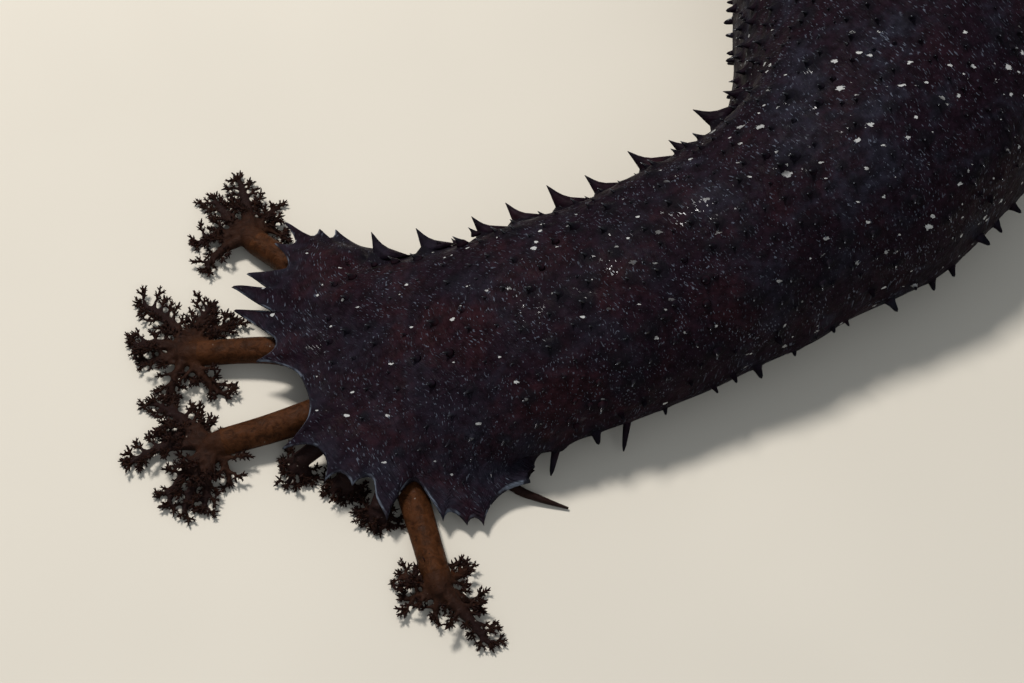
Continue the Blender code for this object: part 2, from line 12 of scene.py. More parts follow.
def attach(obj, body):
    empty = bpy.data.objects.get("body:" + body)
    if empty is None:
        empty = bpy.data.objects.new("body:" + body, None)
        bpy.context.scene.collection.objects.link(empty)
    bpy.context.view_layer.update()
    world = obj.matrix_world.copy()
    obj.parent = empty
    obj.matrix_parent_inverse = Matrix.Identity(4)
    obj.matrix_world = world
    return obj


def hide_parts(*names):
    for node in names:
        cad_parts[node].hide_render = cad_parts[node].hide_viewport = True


bl_info = {
    "name": "Black sea cucumber",
    "version": (1, 0, 0),
    "blender": (4, 5, 0),
    "location": "3D View > Sidebar > Sea cucumber",
    "description": "Builds the skin, papillae, tube feet and tentacles of a black sea cucumber",
    "category": "Object",
}

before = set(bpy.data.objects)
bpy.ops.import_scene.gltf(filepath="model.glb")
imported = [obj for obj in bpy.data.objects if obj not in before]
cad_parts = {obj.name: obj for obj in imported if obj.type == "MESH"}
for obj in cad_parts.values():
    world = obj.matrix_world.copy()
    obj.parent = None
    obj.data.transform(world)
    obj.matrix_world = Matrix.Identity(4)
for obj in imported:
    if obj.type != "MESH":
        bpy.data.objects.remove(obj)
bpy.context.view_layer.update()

# Lengths are in millimetres until the meshes are made, in the directions of the frame:
# x to the right, y away from the viewer, z up from the floor.
MM = 0.001
ORIGIN = (26.2, 80.8)

# x, y, half the body's width and the height of its back, from the neck to the vent.
PATH = (
    (1.3, 1.0, 21.1, 25.0),
    (24.0, 9.4, 20.1, 30.0),
    (44.7, 21.7, 20.7, 35.0),
    (59.0, 34.2, 25.6, 39.0),
    (69.2, 53.0, 30.1, 41.0),
    (73.0, 77.0, 31.8, 42.0),
    (74.5, 103.0, 32.0, 41.0),
    (72.0, 131.0, 30.5, 39.5),
    (73.0, 158.0, 28.0, 36.5),
    (83.0, 181.0, 24.5, 32.5),
    (100.0, 197.0, 20.0, 27.5),
    (119.0, 207.0, 15.5, 22.5),
)
SOLE_HEIGHT = 1.2
WIDEST_AT = 0.40
BACK_ROUNDNESS = 0.95
SIDE_ROUNDNESS = 0.92
SOLE_ROUNDNESS = 0.5
TAIL_ROUNDING = 26.0
NECK_START = -0.3

# The hood has its own frame: forward, sideways towards the viewer, and up.
HEAD_CENTRE = (-19.0, -4.0)
HEAD_FORWARD = (-0.930, -0.367)
RIM = (
    (-13.0, 27.2, 5.0), (-8.9, 26.9, 4.6), (-5.6, 28.2, 3.8), (-3.2, 31.1, 2.2),
    (-2.2, 29.2, 3.2), (-0.6, 30.2, 2.6), (1.2, 27.2, 4.2), (3.0, 28.4, 3.4),
    (3.7, 24.7, 5.6), (5.5, 20.8, 7.2), (9.3, 23.0, 5.8), (11.7, 25.4, 4.4),
    (12.1, 21.6, 6.2), (11.8, 18.3, 7.6), (15.2, 18.4, 6.8), (16.2, 15.8, 8.0),
    (19.2, 15.8, 6.4), (17.7, 13.0, 8.4), (18.8, 9.3, 8.2), (23.6, 7.2, 6.4),
    (18.5, 5.0, 9.0), (16.7, 1.6, 9.4), (16.4, -1.5, 9.4), (16.6, -4.6, 9.2),
    (18.1, -7.3, 8.6), (22.2, -11.2, 6.5), (18.1, -12.2, 8.6), (19.2, -16.3, 8.0),
    (22.4, -23.4, 5.8), (16.4, -18.2, 8.6), (21.2, -28.2, 6.2), (15.4, -23.6, 8.2),
    (18.0, -29.3, 7.0), (11.5, -26.4, 9.0), (11.6, -32.6, 8.8), (8.1, -31.4, 9.0),
    (8.5, -36.6, 8.8), (5.3, -31.8, 8.6), (3.2, -33.0, 8.4), (2.4, -30.2, 8.2),
    (0.5, -32.2, 7.8), (-2.3, -27.8, 7.0), (-6.3, -26.9, 5.6),
)
LIP = (
    (-6.5, -25.0), (-4.5, -21.0), (-4.2, -17.0), (-2.6, -13.0), (-3.2, -9.0), (-1.6, -4.5),
    (-2.6, 0.0), (-1.6, 4.5), (-3.2, 9.0), (-2.8, 13.0), (-5.2, 17.0), (-6.2, 21.0),
    (-9.8, 24.2),
)
LIP_HEIGHT = 1.6
RIM_THICKNESS = 1.7
TIP_THICKNESS = 0.7
EDGE_ROUNDING = 0.6
RIM_BAND = 10.0
TIP_RIDGE = 0.7
FLARE_BACK = 8.0
FLARE_FORWARD = 20.5
FLARE_HALF_WIDTH = 26.0
FLARE_SLOPE = 0.22
FLARE_DROOP = 0.013
# How far the height of a row of the rim is felt on the roof.
LIFT_REACH = 3.6
# How strongly the sides of the rim's tips curve inwards; these few are broad flaps.
TIP_HOLLOW = 0.7
BROAD_TIPS = {(22.4, -23.4): 0.1, (21.2, -28.2): 0.0, (18.0, -29.3): 0.0, (8.5, -36.6): 0.35}
# The hood counts as this much length ahead of the neck, and has so many rings up to its flare.
HOOD_LENGTH = 30.0
HOOD_STEPS = 26
# The body's rings follow the hood's uneven angles less and less, up to this place.
EVEN_FROM = 36.0
# The distance from the rim's edge is counted up to here.
EDGE_COUNTED = 12.0
# The radius of the round body in the space that the wrinkles are drawn in.
FLOW_RADIUS = 25.0
MOUTH_CENTRE = (-7.0, 0.0, 9.0)
MOUTH_TILT = math.radians(20.0)
MOUTH_HALF_WIDTH = 14.6
MOUTH_HALF_HEIGHT = 6.2

# Large papillae stand along the far shoulder at these places, measured from the neck, with
# their sizes; beyond the last they go on at about an even spacing.
SHOULDER_PLACES = ((0.0, 0.9), (6.0, 1.0), (14.0, 1.05), (22.5, 1.0), (33.0, 1.1),
                   (41.0, 0.7), (50.0, 1.0), (57.0, 0.75))
SHOULDER_ANGLE = 156.0
SHOULDER_SPACING = 8.4
# How deep the skin dips between them, and the start of their random draw.
SHOULDER_SINK = 2.0
SHOULDER_SEED = 5
# The same row on the hood: the share of the way to the rim, the angle and the size.
HOOD_SHOULDER = ((0.42, 158.0, 1.0), (0.76, 162.0, 1.1))
# Long papillae that hang from the near margin beside the hood: root, tip and half the width.
MARGIN_LOBES = (
    ((7.6, -17.6, 6.0), (6.6, -22.4, 2.2), 1.0),
    ((14.6, -12.6, 7.0), (14.4, -16.6, 3.6), 0.9),
    ((19.6, -11.8, 6.0), (19.0, -16.6, 2.4), 0.8),
)

# The share of a crown's reach that is its main branch; twigs make up the rest.
BRANCH_SHARE = 0.86
RING_HALF_WIDTH = 11.0
RING_HALF_HEIGHT = 3.2
TENTACLES = {
    "far": dict(
        base=180.0,
        stalk=((-30.5, 10.0, 3.8), (-39.0, 21.0, 2.9), (-45.0, 26.0, 3.1)),
        radius=2.2,
        crown=((50, 10, 8.5), (76, 62, 11.5), (96, 112, 19.0), (132, 118, 16.0),
               (158, 186, 12.5), (192, 234, 12.0)),
    ),
    "left": dict(
        base=135.0,
        stalk=((-31.0, -0.4, 5.2), (-42.0, 2.4, 4.0), (-53.5, 2.2, 3.3)),
        radius=2.1,
        crown=((60, 48, 13.5), (92, 68, 15.0), (108, 150, 19.5), (146, 176, 14.0),
               (190, 168, 10.5), (236, 256, 10.5), (286, 336, 12.0)),
    ),
    "front": dict(
        base=92.0,
        stalk=((-27.0, -8.4, 6.0), (-37.0, -12.6, 4.6), (-48.0, -16.0, 3.4)),
        radius=2.3,
        crown=((102, 124, 8.0), (130, 144, 18.5), (150, 158, 13.0), (166, 206, 18.0),
               (220, 244, 15.0), (246, 258, 15.5), (270, 262, 13.0), (312, 288, 8.5)),
    ),
    "near": dict(
        base=30.0,
        stalk=((-18.6, -19.0, 3.8), (-16.2, -27.3, 2.6), (-12.4, -41.0, 2.6)),
        radius=2.3,
        crown=((34, 62, 8.0), (346, 328, 8.5), (310, 316, 15.5), (266, 250, 6.0),
               (206, 172, 8.0), (166, 138, 9.5)),
    ),
}
DRAWN_IN_SLOTS = 20
# The bushes that show beneath the near corner: the middle of each, and its bearing.
DRAWN_IN_BUSHES = (((-35.8, -19.8, 3.2), 240), ((-27.8, -23.4, 3.2), 246),
                   ((-22.2, -28.8, 2.4), 258))
BRANCH_WIGGLE = 9.0
BRANCH_FLOOR = 0.6
SIDE_BRANCH_FLOOR = 0.55
CROWN_REACH = 13.0
CROWN_VOXEL = 0.26
BUSH_VOXEL = 0.3
SIDE_FOOT = ((-4.6, -19.0, 3.4), (0.2, -24.0, 2.0), (4.7, -25.8, 1.1), (9.4, -27.3, 0.5))
SIDE_FOOT_RADII = (1.2, 0.85, 0.6, 0.2)

# How large the small flat map of a repeated shape is on the skin's unwrap.
PATCH_SIZE = 0.003
# The middles of the hood's markings and of the wrinkled near corner, which also carries painted
# sheen.
HOOD_MIDDLE = (-16.0, -3.0)
NEAR_CORNER = (-8.0, -27.5)
DASH_STRETCH = 1300.0
# Colour of the painted highlights on the crests of the skin's wrinkles.
GLINT_DASH_COLOUR = (0.085, 0.095, 0.125, 1)
MOUND_COLOUR = (0.0042, 0.0038, 0.0055, 1)
TIP_COLOUR = (0.005, 0.0048, 0.0068, 1)
TIP_GLINT = (0.12, 0.13, 0.15, 1)
# Colour of the bluish band of painted sheen along the hood's rim.
RIM_SHEEN_COLOUR = (0.021, 0.023, 0.035, 1)
# Colour of the thin painted highlight along the rim's edge.
RIM_HIGHLIGHT_COLOUR = (0.13, 0.15, 0.19, 1)
INNER_COLOUR = (0.008, 0.005, 0.006, 1)
SPECK_COLOUR = (0.3, 0.26, 0.22, 1)


def unit(vector):
    vector = np.asarray(vector, float)
    return vector / max(np.linalg.norm(vector), 1e-12)


def spline(rows, at):
    """A smooth curve through the rows, at a place counted in rows."""
    rows = np.asarray(rows, float)
    first = int(np.clip(math.floor(at), 0, len(rows) - 2))
    t = at - first
    before = rows[first - 1] if first else 2 * rows[0] - rows[1]
    after = rows[first + 2] if first + 2 < len(rows) else 2 * rows[-1] - rows[-2]
    here, there = rows[first], rows[first + 1]
    return hermite(here, (there - before) / 2, there, (after - here) / 2, t)


def hermite(start, leaving, end, arriving, t):
    return (
        (2 * t**3 - 3 * t**2 + 1) * start
        + (t**3 - 2 * t**2 + t) * leaving
        + (3 * t**2 - 2 * t**3) * end
        + (t**3 - t**2) * arriving
    )


def smooth_step(low, high, value):
    t = np.clip((value - low) / (high - low), 0.0, 1.0)
    return t * t * (3 - 2 * t)


SAMPLED_AT = np.linspace(0, len(PATH) - 1, 40 * (len(PATH) - 1) + 1)
SAMPLED = np.array([spline(PATH, at) for at in SAMPLED_AT])
STEPS = np.linalg.norm(np.diff(SAMPLED[:, :2], axis=0), axis=1)
ALONG = np.concatenate([[0.0], np.cumsum(STEPS)])
BODY_LENGTH = float(ALONG[-1])
LAST_PAPILLAE = BODY_LENGTH - TAIL_ROUNDING * 0.35


def body_at(along):
    """The path's point, its direction towards the tail, half the width and the height there."""
    inside = min(max(along, 0.0), BODY_LENGTH)
    x, y, half_width, height = (np.interp(inside, ALONG, SAMPLED[:, k]) for k in range(4))
    low, high = max(inside - 0.5, 0.0), min(inside + 0.5, BODY_LENGTH)
    ends = [[np.interp(s, ALONG, SAMPLED[:, k]) for k in range(2)] for s in (low, high)]
    tailwards = unit(np.subtract(ends[1], ends[0]))
    centre = np.array([x, y]) + tailwards * (along - inside)
    return centre, tailwards, half_width, height


def body_ring(along, angles):
    """The skin's points round the body at one place. Angle 0 faces the viewer's side."""
    angles = np.asarray(angles, float)
    centre, tailwards, half_width, height = body_at(along)
    past = max(along - (BODY_LENGTH - TAIL_ROUNDING), 0.0)
    shrunk = math.sqrt(max(1.0 - (past / TAIL_ROUNDING) ** 2, 0.0))
    widest = height * WIDEST_AT
    cosine, sine = np.cos(angles), np.sin(angles)
    sideways = half_width * shrunk * np.sign(cosine) * np.abs(cosine) ** SIDE_ROUNDNESS
    upper = (height - widest) * shrunk * np.maximum(sine, 0.0) ** BACK_ROUNDNESS
    lower = (widest - SOLE_HEIGHT) * shrunk * np.maximum(-sine, 0.0) ** SOLE_ROUNDNESS
    x = centre[0] + tailwards[1] * sideways
    y = centre[1] - tailwards[0] * sideways
    return np.column_stack([x, y, widest + upper - lower])


def skin_point(along, angle):
    return body_ring(along, [angle])[0]


def skin_normal(along, angle):
    across = skin_point(along, angle + 0.02) - skin_point(along, angle - 0.02)
    lengthwise = skin_point(along + 0.5, angle) - skin_point(along - 0.5, angle)
    return unit(np.cross(lengthwise, across))


def head_to_world(point):
    """From the hood's frame of forward, sideways and up to the floor's frame."""
    point = np.asarray(point, float)
    forward = np.array([*HEAD_FORWARD, 0.0])
    side = np.array([-HEAD_FORWARD[1], HEAD_FORWARD[0], 0.0])
    up = np.array([0.0, 0.0, 1.0])
    placed = point[..., 0:1] * forward + point[..., 1:2] * side + point[..., 2:3] * up
    return placed + np.array([*HEAD_CENTRE, 0.0])


def mouth_point(angle, half_width, half_height, ahead):
    """A point on the plane of the mouth, ahead of it by so much, in the floor's frame."""
    tilt_in, tilt_up = math.sin(MOUTH_TILT), math.cos(MOUTH_TILT)
    forward, side, up = MOUTH_CENTRE
    rise = half_height * math.sin(angle)
    return head_to_world(
        (
            forward + rise * tilt_in + ahead * tilt_up,
            side + half_width * math.cos(angle),
            up + rise * tilt_up - ahead * tilt_in,
        )
    )


class Column:
    """One line of the hood's skin, from the neck out to the rim's edge."""

    def __init__(self, angle, base, edge, lip):
        self.angle = angle
        self.base = np.asarray(base, float)
        self.edge = np.asarray(edge, float)
        self.lip = lip
        self.reach = float(np.linalg.norm((self.edge - self.base)[:2]))


def flare_point(angle):
    """The smooth oval that the hood's roof widens to, in the hood's frame."""
    return np.array([-FLARE_BACK + FLARE_FORWARD * math.sin(angle),
                     FLARE_HALF_WIDTH * math.cos(angle)])


def rim_directions():
    """The direction of each row of the rim, seen from the hood's middle."""
    found = []
    last = -20.0
    for forward, side, _ in RIM:
        last = max(math.degrees(math.atan2((forward + FLARE_BACK) * 1.25, side)), last + 1.0)
        found.append(last)
    return found


def spread_angles(directions, least):
    """The same angles with no two closer than the least gap, over the same whole turn."""
    gaps = np.maximum(np.diff(directions), least)
    gaps *= (directions[-1] - directions[0]) / gaps.sum()
    return [directions[0], *(directions[0] + np.cumsum(gaps))]


DIRECTIONS = rim_directions()
RIM_ANGLES = spread_angles(DIRECTIONS, 3.2)
RIM_REACH = [math.hypot(*(np.array(row[:2]) - flare_point(math.radians(direction))))
             for row, direction in zip(RIM, DIRECTIONS)]
RIM_HEIGHTS = [row[2] + FLARE_SLOPE * reach + FLARE_DROOP * reach**2
               for row, reach in zip(RIM, RIM_REACH)]
POINTED = [0 < i < len(RIM) - 1 and RIM_REACH[i] > max(RIM_REACH[i - 1], RIM_REACH[i + 1])
           for i in range(len(RIM))]


def flare_height(degrees):
    """The height of the hood's roof round its smooth oval."""
    at = np.array([*DIRECTIONS, 180.0, 186.0])
    heights = np.array([*RIM_HEIGHTS, 5.6, 5.4])
    near = np.exp(-0.5 * ((np.asarray(degrees)[..., None] - at) / 8.0) ** 2)
    return (near * heights).sum(-1) / near.sum(-1)


def smooth_roof(plan):
    """The height of the hood's thin roof from the oval outwards, before each tip's own lift."""
    plan = np.asarray(plan, float)
    ahead, aside = (plan[:, 0] + FLARE_BACK) / FLARE_FORWARD, plan[:, 1] / FLARE_HALF_WIDTH
    angle = np.arctan2(ahead, aside)
    angle = np.where(angle < -math.pi / 2, angle + 2 * math.pi, angle)
    span = np.hypot(FLARE_FORWARD * np.sin(angle), FLARE_HALF_WIDTH * np.cos(angle))
    beyond = (np.hypot(ahead, aside) - 1.0) * span
    height = flare_height(np.degrees(angle))
    outside = np.maximum(beyond, 0.0)
    return height - FLARE_SLOPE * beyond - FLARE_DROOP * outside**2


def near_rows(plan):
    """How near each point is to each row of the rim, from 0 to 1."""
    away = np.linalg.norm(np.asarray(plan, float)[:, None] - np.array(RIM)[None, :, :2], axis=2)
    return np.exp(-((away / LIFT_REACH) ** 2))


def lift_weights():
    """How much each row lifts the roof near it, so that the rows stand at their own heights."""
    rows = np.array(RIM)
    wanted = rows[:, 2] - smooth_roof(rows[:, :2])
    return np.linalg.solve(near_rows(rows[:, :2]) + 0.25 * np.eye(len(rows)), wanted)


LIFTS = lift_weights()


def roof_height(plan):
    """The height of the hood's thin roof, lifted to the height of each tip and bay."""
    return smooth_roof(plan) + near_rows(plan) @ LIFTS


def tip_ridges(plan):
    """How far the skin stands up along the middle of each of the rim's tips."""
    plan = np.asarray(plan, float)
    total = np.zeros(len(plan))
    for row, angle, reach, pointed in zip(RIM, DIRECTIONS, RIM_REACH, POINTED):
        if not pointed or reach < 2.0:
            continue
        tip = np.array(row[:2])
        way = unit(tip - flare_point(math.radians(angle)))
        length = min(reach + 3.0, 9.0)
        away = plan - (tip - way * length)
        t = away @ way / length
        aside = np.abs(away @ np.array([-way[1], way[0]]))
        width = 0.35 + 1.5 * np.clip(1.0 - t, 0.0, 1.0)
        ridge = smooth_step(-0.5, 0.35, t) * (t < 1.2) * (1.0 - 0.5 * np.clip(t, 0, 1))
        ridge = ridge * np.exp(-((aside / width) ** 2)) * min(reach / 6.0, 1.0)
        total = np.maximum(total, ridge)
    return total * TIP_RIDGE


def rim_line(step):
    """The saw edge between its rows: rounded in the bays and pointed at the tips."""
    rows = np.array(RIM, float)[:, :2]
    last_row = len(rows) - 1
    outward = [unit(rows[i] - (rows[max(i - 1, 0)] + rows[min(i + 1, last_row)]) / 2)
               for i in range(len(rows))]
    found = []
    for i in range(last_row):
        here, there = rows[i], rows[i + 1]
        length = np.linalg.norm(there - here)
        straight = (there - here) / length
        leaving = unit(there - rows[max(i - 1, 0)]) * 0.9
        arriving = unit(rows[min(i + 2, last_row)] - here) * 0.9
        if POINTED[i]:
            bent = BROAD_TIPS.get(RIM[i][:2], TIP_HOLLOW)
            leaving = (1 - bent) * straight - bent * outward[i]
            arriving += (straight - arriving) * (1 - bent / TIP_HOLLOW)
        if POINTED[i + 1]:
            bent = BROAD_TIPS.get(RIM[i + 1][:2], TIP_HOLLOW)
            arriving = (1 - bent) * straight + bent * outward[i + 1]
            leaving += (straight - leaving) * (1 - bent / TIP_HOLLOW)
        count = max(round(length / step), 3)
        for k in range(count):
            t = k / count
            edge = hermite(here, leaving * length, there, arriving * length, t)
            angle = math.radians(RIM_ANGLES[i] + (RIM_ANGLES[i + 1] - RIM_ANGLES[i]) * t)
            found.append(Column(angle, flare_point(angle), edge, 0.0))
    angle = math.radians(RIM_ANGLES[-1])
    found.append(Column(angle, flare_point(angle), rows[-1], 0.0))
    return found


def lip_line(step):
    """The lip under the mouth, from the far corner back to the near one."""
    rows = [RIM[-1][:2], *LIP, RIM[0][:2]]
    last_angle = RIM_ANGLES[-1]
    span = 340.0 - last_angle
    angles = [last_angle, *[last_angle + span * (k + 1) / (len(LIP) + 1) for k in range(len(LIP))],
              RIM_ANGLES[0] + 360.0]
    found = []
    for i in range(len(rows) - 1):
        count = max(round(np.linalg.norm(np.subtract(rows[i + 1], rows[i])) / step), 2)
        for k in range(count):
            at = i + k / count
            if at == 0:
                continue
            edge = spline(rows, at)
            angle = math.radians(np.interp(at, range(len(angles)), angles))
            share = float(smooth_step(0.0, 1.0, at) * smooth_step(len(rows) - 1, len(rows) - 2, at))
            under = np.array([edge[0] - 3.0, edge[1] * 0.96])
            base = flare_point(angle) * (1 - share) + under * share
            found.append(Column(angle, base, edge, share))
    return found


def on_hood(columns, plan, lip_height):
    """Gives points of the roof and the lip their heights, between the two at the corners."""
    lip = np.array([column.lip for column in columns])
    roof = roof_height(plan) + tip_ridges(plan)
    return np.column_stack([plan, roof * (1 - lip) + lip_height * lip])


def hood_columns():
    return rim_line(0.85) + lip_line(1.3)


def hood_ring(columns, t):
    """The hood's outer skin, from the neck at t = 0 to the flare at t = 1."""
    angles = np.array([column.angle for column in columns])
    lip = np.array([column.lip for column in columns])[:, None]
    starts = body_ring(NECK_START, angles)
    behind = body_ring(2.0, angles)
    leaving = starts - behind
    leaving *= 14.0 / np.linalg.norm(leaving, axis=1)[:, None]
    plan = np.array([column.base for column in columns])
    ends = on_hood(columns, plan, SOLE_HEIGHT + 0.1)
    ahead = np.column_stack([np.sin(angles) / FLARE_FORWARD, np.cos(angles) / FLARE_HALF_WIDTH])
    ahead /= np.linalg.norm(ahead, axis=1)[:, None]
    beyond = on_hood(columns, plan + ahead * 0.5, SOLE_HEIGHT + 0.1)
    slopes = head_to_world(beyond) - head_to_world(ends)
    slopes *= 13.0 / np.linalg.norm(slopes, axis=1)[:, None]
    onward = head_to_world([1.0, 0.0, 0.0]) - head_to_world([0.0, 0.0, 0.0])
    arriving = slopes * (1 - lip) + onward * 6.0 * lip
    points = hermite(starts, leaving, head_to_world(ends), arriving, t)
    points[:, 2] = np.maximum(points[:, 2], SOLE_HEIGHT)
    return points


def rim_ring(columns, share, over):
    """Points from the flare out to the edge. Over runs from 1 on the upper face to -1 beneath."""
    base = np.array([column.base for column in columns])
    edge = np.array([column.edge for column in columns])
    lip = np.array([column.lip for column in columns])
    reach = np.array([column.reach for column in columns])
    plan = base + (edge - base) * share
    placed = on_hood(columns, plan, LIP_HEIGHT)
    left = reach * (1 - share)
    tapered = np.minimum(reach * share / 6.0, 1.0)
    thickness = RIM_THICKNESS + (TIP_THICKNESS - RIM_THICKNESS) * tapered
    thickness = thickness + tip_ridges(plan) * 0.6
    rounded = np.clip(1.0 - left / EDGE_ROUNDING, 0.0, 1.0)
    half = thickness / 2 * np.sqrt(1.0 - rounded**2)
    middle = placed[:, 2] - thickness / 2 * (1 - 2 * lip)
    placed[:, 2] = np.maximum(middle + half * over, SOLE_HEIGHT)
    return head_to_world(placed)


def inner_ring(columns, t):
    """The hood's inner wall, from under the flare at t = 0 to the mouth's edge at t = 1."""
    starts = rim_ring(columns, 0.0, -1.0)
    points = []
    for column, start in zip(columns, starts):
        end = mouth_point(column.angle, MOUTH_HALF_WIDTH, MOUTH_HALF_HEIGHT, 0.0)
        arch = math.sin(math.pi * t) * 1.5 * max(math.sin(column.angle), 0.0)
        points.append(start * (1 - t) + end * t + np.array([0.0, 0.0, arch]))
    return np.array(points)


def tail_places():
    straight = BODY_LENGTH - TAIL_ROUNDING
    return [straight + TAIL_ROUNDING * math.sin(math.radians(a)) for a in np.linspace(4, 84, 26)]


def vent_rings(angles):
    """The puckered vent in the middle of the hind end."""
    centre, tailwards, _, height = body_at(BODY_LENGTH)
    rings = []
    for radius, back in ((2.4, 0.25), (1.7, 0.1), (1.2, -0.6), (0.9, -2.0), (0.5, -3.4)):
        pucker = 1.0 + 0.12 * np.cos(9 * angles)
        x = centre[0] + tailwards[1] * radius * pucker * np.cos(angles) + tailwards[0] * back
        y = centre[1] - tailwards[0] * radius * pucker * np.cos(angles) + tailwards[1] * back
        rings.append(np.column_stack([x, y, height * WIDEST_AT + radius * pucker * np.sin(angles)]))
    return rings


def even_angles(columns):
    """The columns' angles spread evenly over the back, and over the sole, for the body."""
    rim = [c for c in columns if c.lip == 0.0]
    over = np.linspace(rim[0].angle, rim[-1].angle, len(rim))
    under = np.linspace(rim[-1].angle, rim[0].angle + 2 * math.pi, len(columns) - len(rim) + 2)
    return np.concatenate([over, under[1:-1]])


def ring_angles(columns, along):
    """The angles of one ring: the hood's own at the neck, and even ones further back."""
    own = np.array([c.angle for c in columns])
    blended = smooth_step(0.0, EVEN_FROM, along)
    return own * (1 - blended) + even_angles(columns) * blended


def skin_rings(columns, apart):
    """All the rings of the skin, from the vent to behind the mouth.

    Each has its place along the body, its distance from the rim's edge and, from 0 to 1, how
    much of it is on the inner side.
    """
    reach = np.array([c.reach for c in columns])
    far = np.full(len(columns), EDGE_COUNTED)
    vent = vent_rings(ring_angles(columns, BODY_LENGTH))
    rings = [(ring, BODY_LENGTH, far, 0.0) for ring in reversed(vent)]
    straight = BODY_LENGTH - TAIL_ROUNDING
    count = round(straight / apart)
    places = [straight * k / count for k in range(count + 1)] + tail_places()
    for along in reversed(places):
        rings.append((body_ring(along, ring_angles(columns, along)), along, far, 0.0))
    for k in range(HOOD_STEPS + 1):
        t = k / HOOD_STEPS
        left = np.minimum(reach + (1 - t) * 34.0, EDGE_COUNTED) if t < 1 else reach
        rings.append((hood_ring(columns, t), -HOOD_LENGTH * t, left, 0.0))
    for shares, over, along, inner in (
        ((0.2, 0.4, 0.6, 0.78, 0.9), 1.0, -32.0, 0.0), ((0.97, 1.0), 1.0, -33.0, 0.0),
        ((0.97,), -1.0, -33.0, 0.3), ((0.85, 0.6, 0.3), -1.0, -32.0, 0.7),
    ):
        rings += [(rim_ring(columns, share, over), along, reach * (1 - share), inner)
                  for share in shares]
    rings += [(inner_ring(columns, t), -28.0, reach, 1.0) for t in np.linspace(0, 1, 12)]
    for shrink in (0.8, 0.55, 0.3, 0.12):
        ring = [mouth_point(c.angle, MOUTH_HALF_WIDTH * shrink, MOUTH_HALF_HEIGHT * shrink, -0.2)
                for c in columns]
        rings.append((np.array(ring), -20.0, reach, 1.0))
    return rings


def to_metres(points):
    return (np.asarray(points, float) - np.array([*ORIGIN, 0.0])) * MM


def link(obj):
    bpy.context.scene.collection.objects.link(obj)
    return obj


def smooth_shaded(mesh):
    mesh.polygons.foreach_set("use_smooth", [True] * len(mesh.polygons))
    mesh.update()


def mesh_object(name, points, faces, finish=None):
    """A smooth mesh with its faces turned outwards, from points in millimetres."""
    mesh = bpy.data.meshes.new(name)
    mesh.from_pydata(to_metres(points).tolist(), [], faces)
    shape = bmesh.new()
    shape.from_mesh(mesh)
    bmesh.ops.recalc_face_normals(shape, faces=shape.faces)
    shape.to_mesh(mesh)
    shape.free()
    smooth_shaded(mesh)
    if finish:
        mesh.materials.append(finish)
    return link(bpy.data.objects.new(name, mesh))


def ring_faces(sides, rings, start=0, capped=True):
    faces = []
    for i in range(rings - 1):
        low, high = start + i * sides, start + (i + 1) * sides
        for j in range(sides):
            k = (j + 1) % sides
            faces.append((low + j, low + k, high + k, high + j))
    if capped:
        faces.append(tuple(start + j for j in range(sides))[::-1])
        faces.append(tuple(start + (rings - 1) * sides + j for j in range(sides)))
    return faces


def tube_points(line, radii, sides, folds=0.0):
    """The rings of a round tube along a line of points."""
    line = [np.asarray(p, float) for p in line]
    points = []
    over = np.array([0.0, 0.0, 1.0])
    for i, point in enumerate(line):
        heading = unit(line[min(i + 1, len(line) - 1)] - line[max(i - 1, 0)])
        across = np.cross(heading, over)
        if np.linalg.norm(across) < 0.2:
            across = np.cross(heading, (0.0, 1.0, 0.0))
        across = unit(across)
        over = np.cross(across, heading)
        for k in range(sides):
            a = 2 * math.pi * k / sides
            radius = radii[i] * (1 + folds * math.cos(5 * a + 0.15 * i))
            points.append(point + radius * (math.cos(a) * across + math.sin(a) * over))
    return points


class Gathered:
    """Many closed tubes kept as one list of points and faces."""

    def __init__(self):
        self.points, self.faces = [], []

    def tube(self, line, radii, sides, folds=0.0):
        start = len(self.points)
        self.points += tube_points(line, radii, sides, folds)
        self.faces += ring_faces(sides, len(line), start)


def attribute(mesh, name, values):
    """Keeps a number or a vector for each vertex."""
    values = np.asarray(values, np.float32)
    kind, key = ("FLOAT", "value") if values.ndim == 1 else ("FLOAT_VECTOR", "vector")
    made = mesh.attributes.new(name, kind, "POINT")
    made.data.foreach_set(key, values.ravel())


def of_vertices(mesh, key):
    """The place or the normal of every vertex, by the name of its property."""
    found = np.empty(len(mesh.vertices) * 3)
    mesh.vertices.foreach_get(key, found)
    return found.reshape(-1, 3)


class Places:
    """Where small shapes stand: their roots, how they are turned and sized, and their patches."""

    def __init__(self):
        self.roots, self.turns, self.sizes, self.patches = [], [], [], []

    def add(self, root, axis, forward, width, height, patch):
        axis = unit(axis)
        ahead = unit(np.asarray(forward) - np.dot(forward, axis) * axis)
        side = np.cross(axis, ahead)
        turned = Matrix(np.column_stack([ahead, side, axis]).tolist())
        self.roots.append(np.asarray(root, float))
        self.turns.append(tuple(turned.to_euler()))
        self.sizes.append((width, width, height))
        self.patches.append((*patch, 0.0))


def unwrapped(along, angle):
    """The place of a point of the skin on the flat unwrap of its own shape."""
    return ((along + 50.0) / (BODY_LENGTH + 60.0), (angle / (2 * math.pi) + 0.1) % 1.0)


def shoulder_rows():
    """Where the large papillae of the far shoulder stand along the body, and their sizes."""
    chance = random.Random(SHOULDER_SEED)
    rows = [*SHOULDER_PLACES]
    while rows[-1][0] + SHOULDER_SPACING < LAST_PAPILLAE:
        rows.append((rows[-1][0] + SHOULDER_SPACING * chance.uniform(0.7, 1.1),
                     chance.uniform(0.35, 0.6)))
    return rows


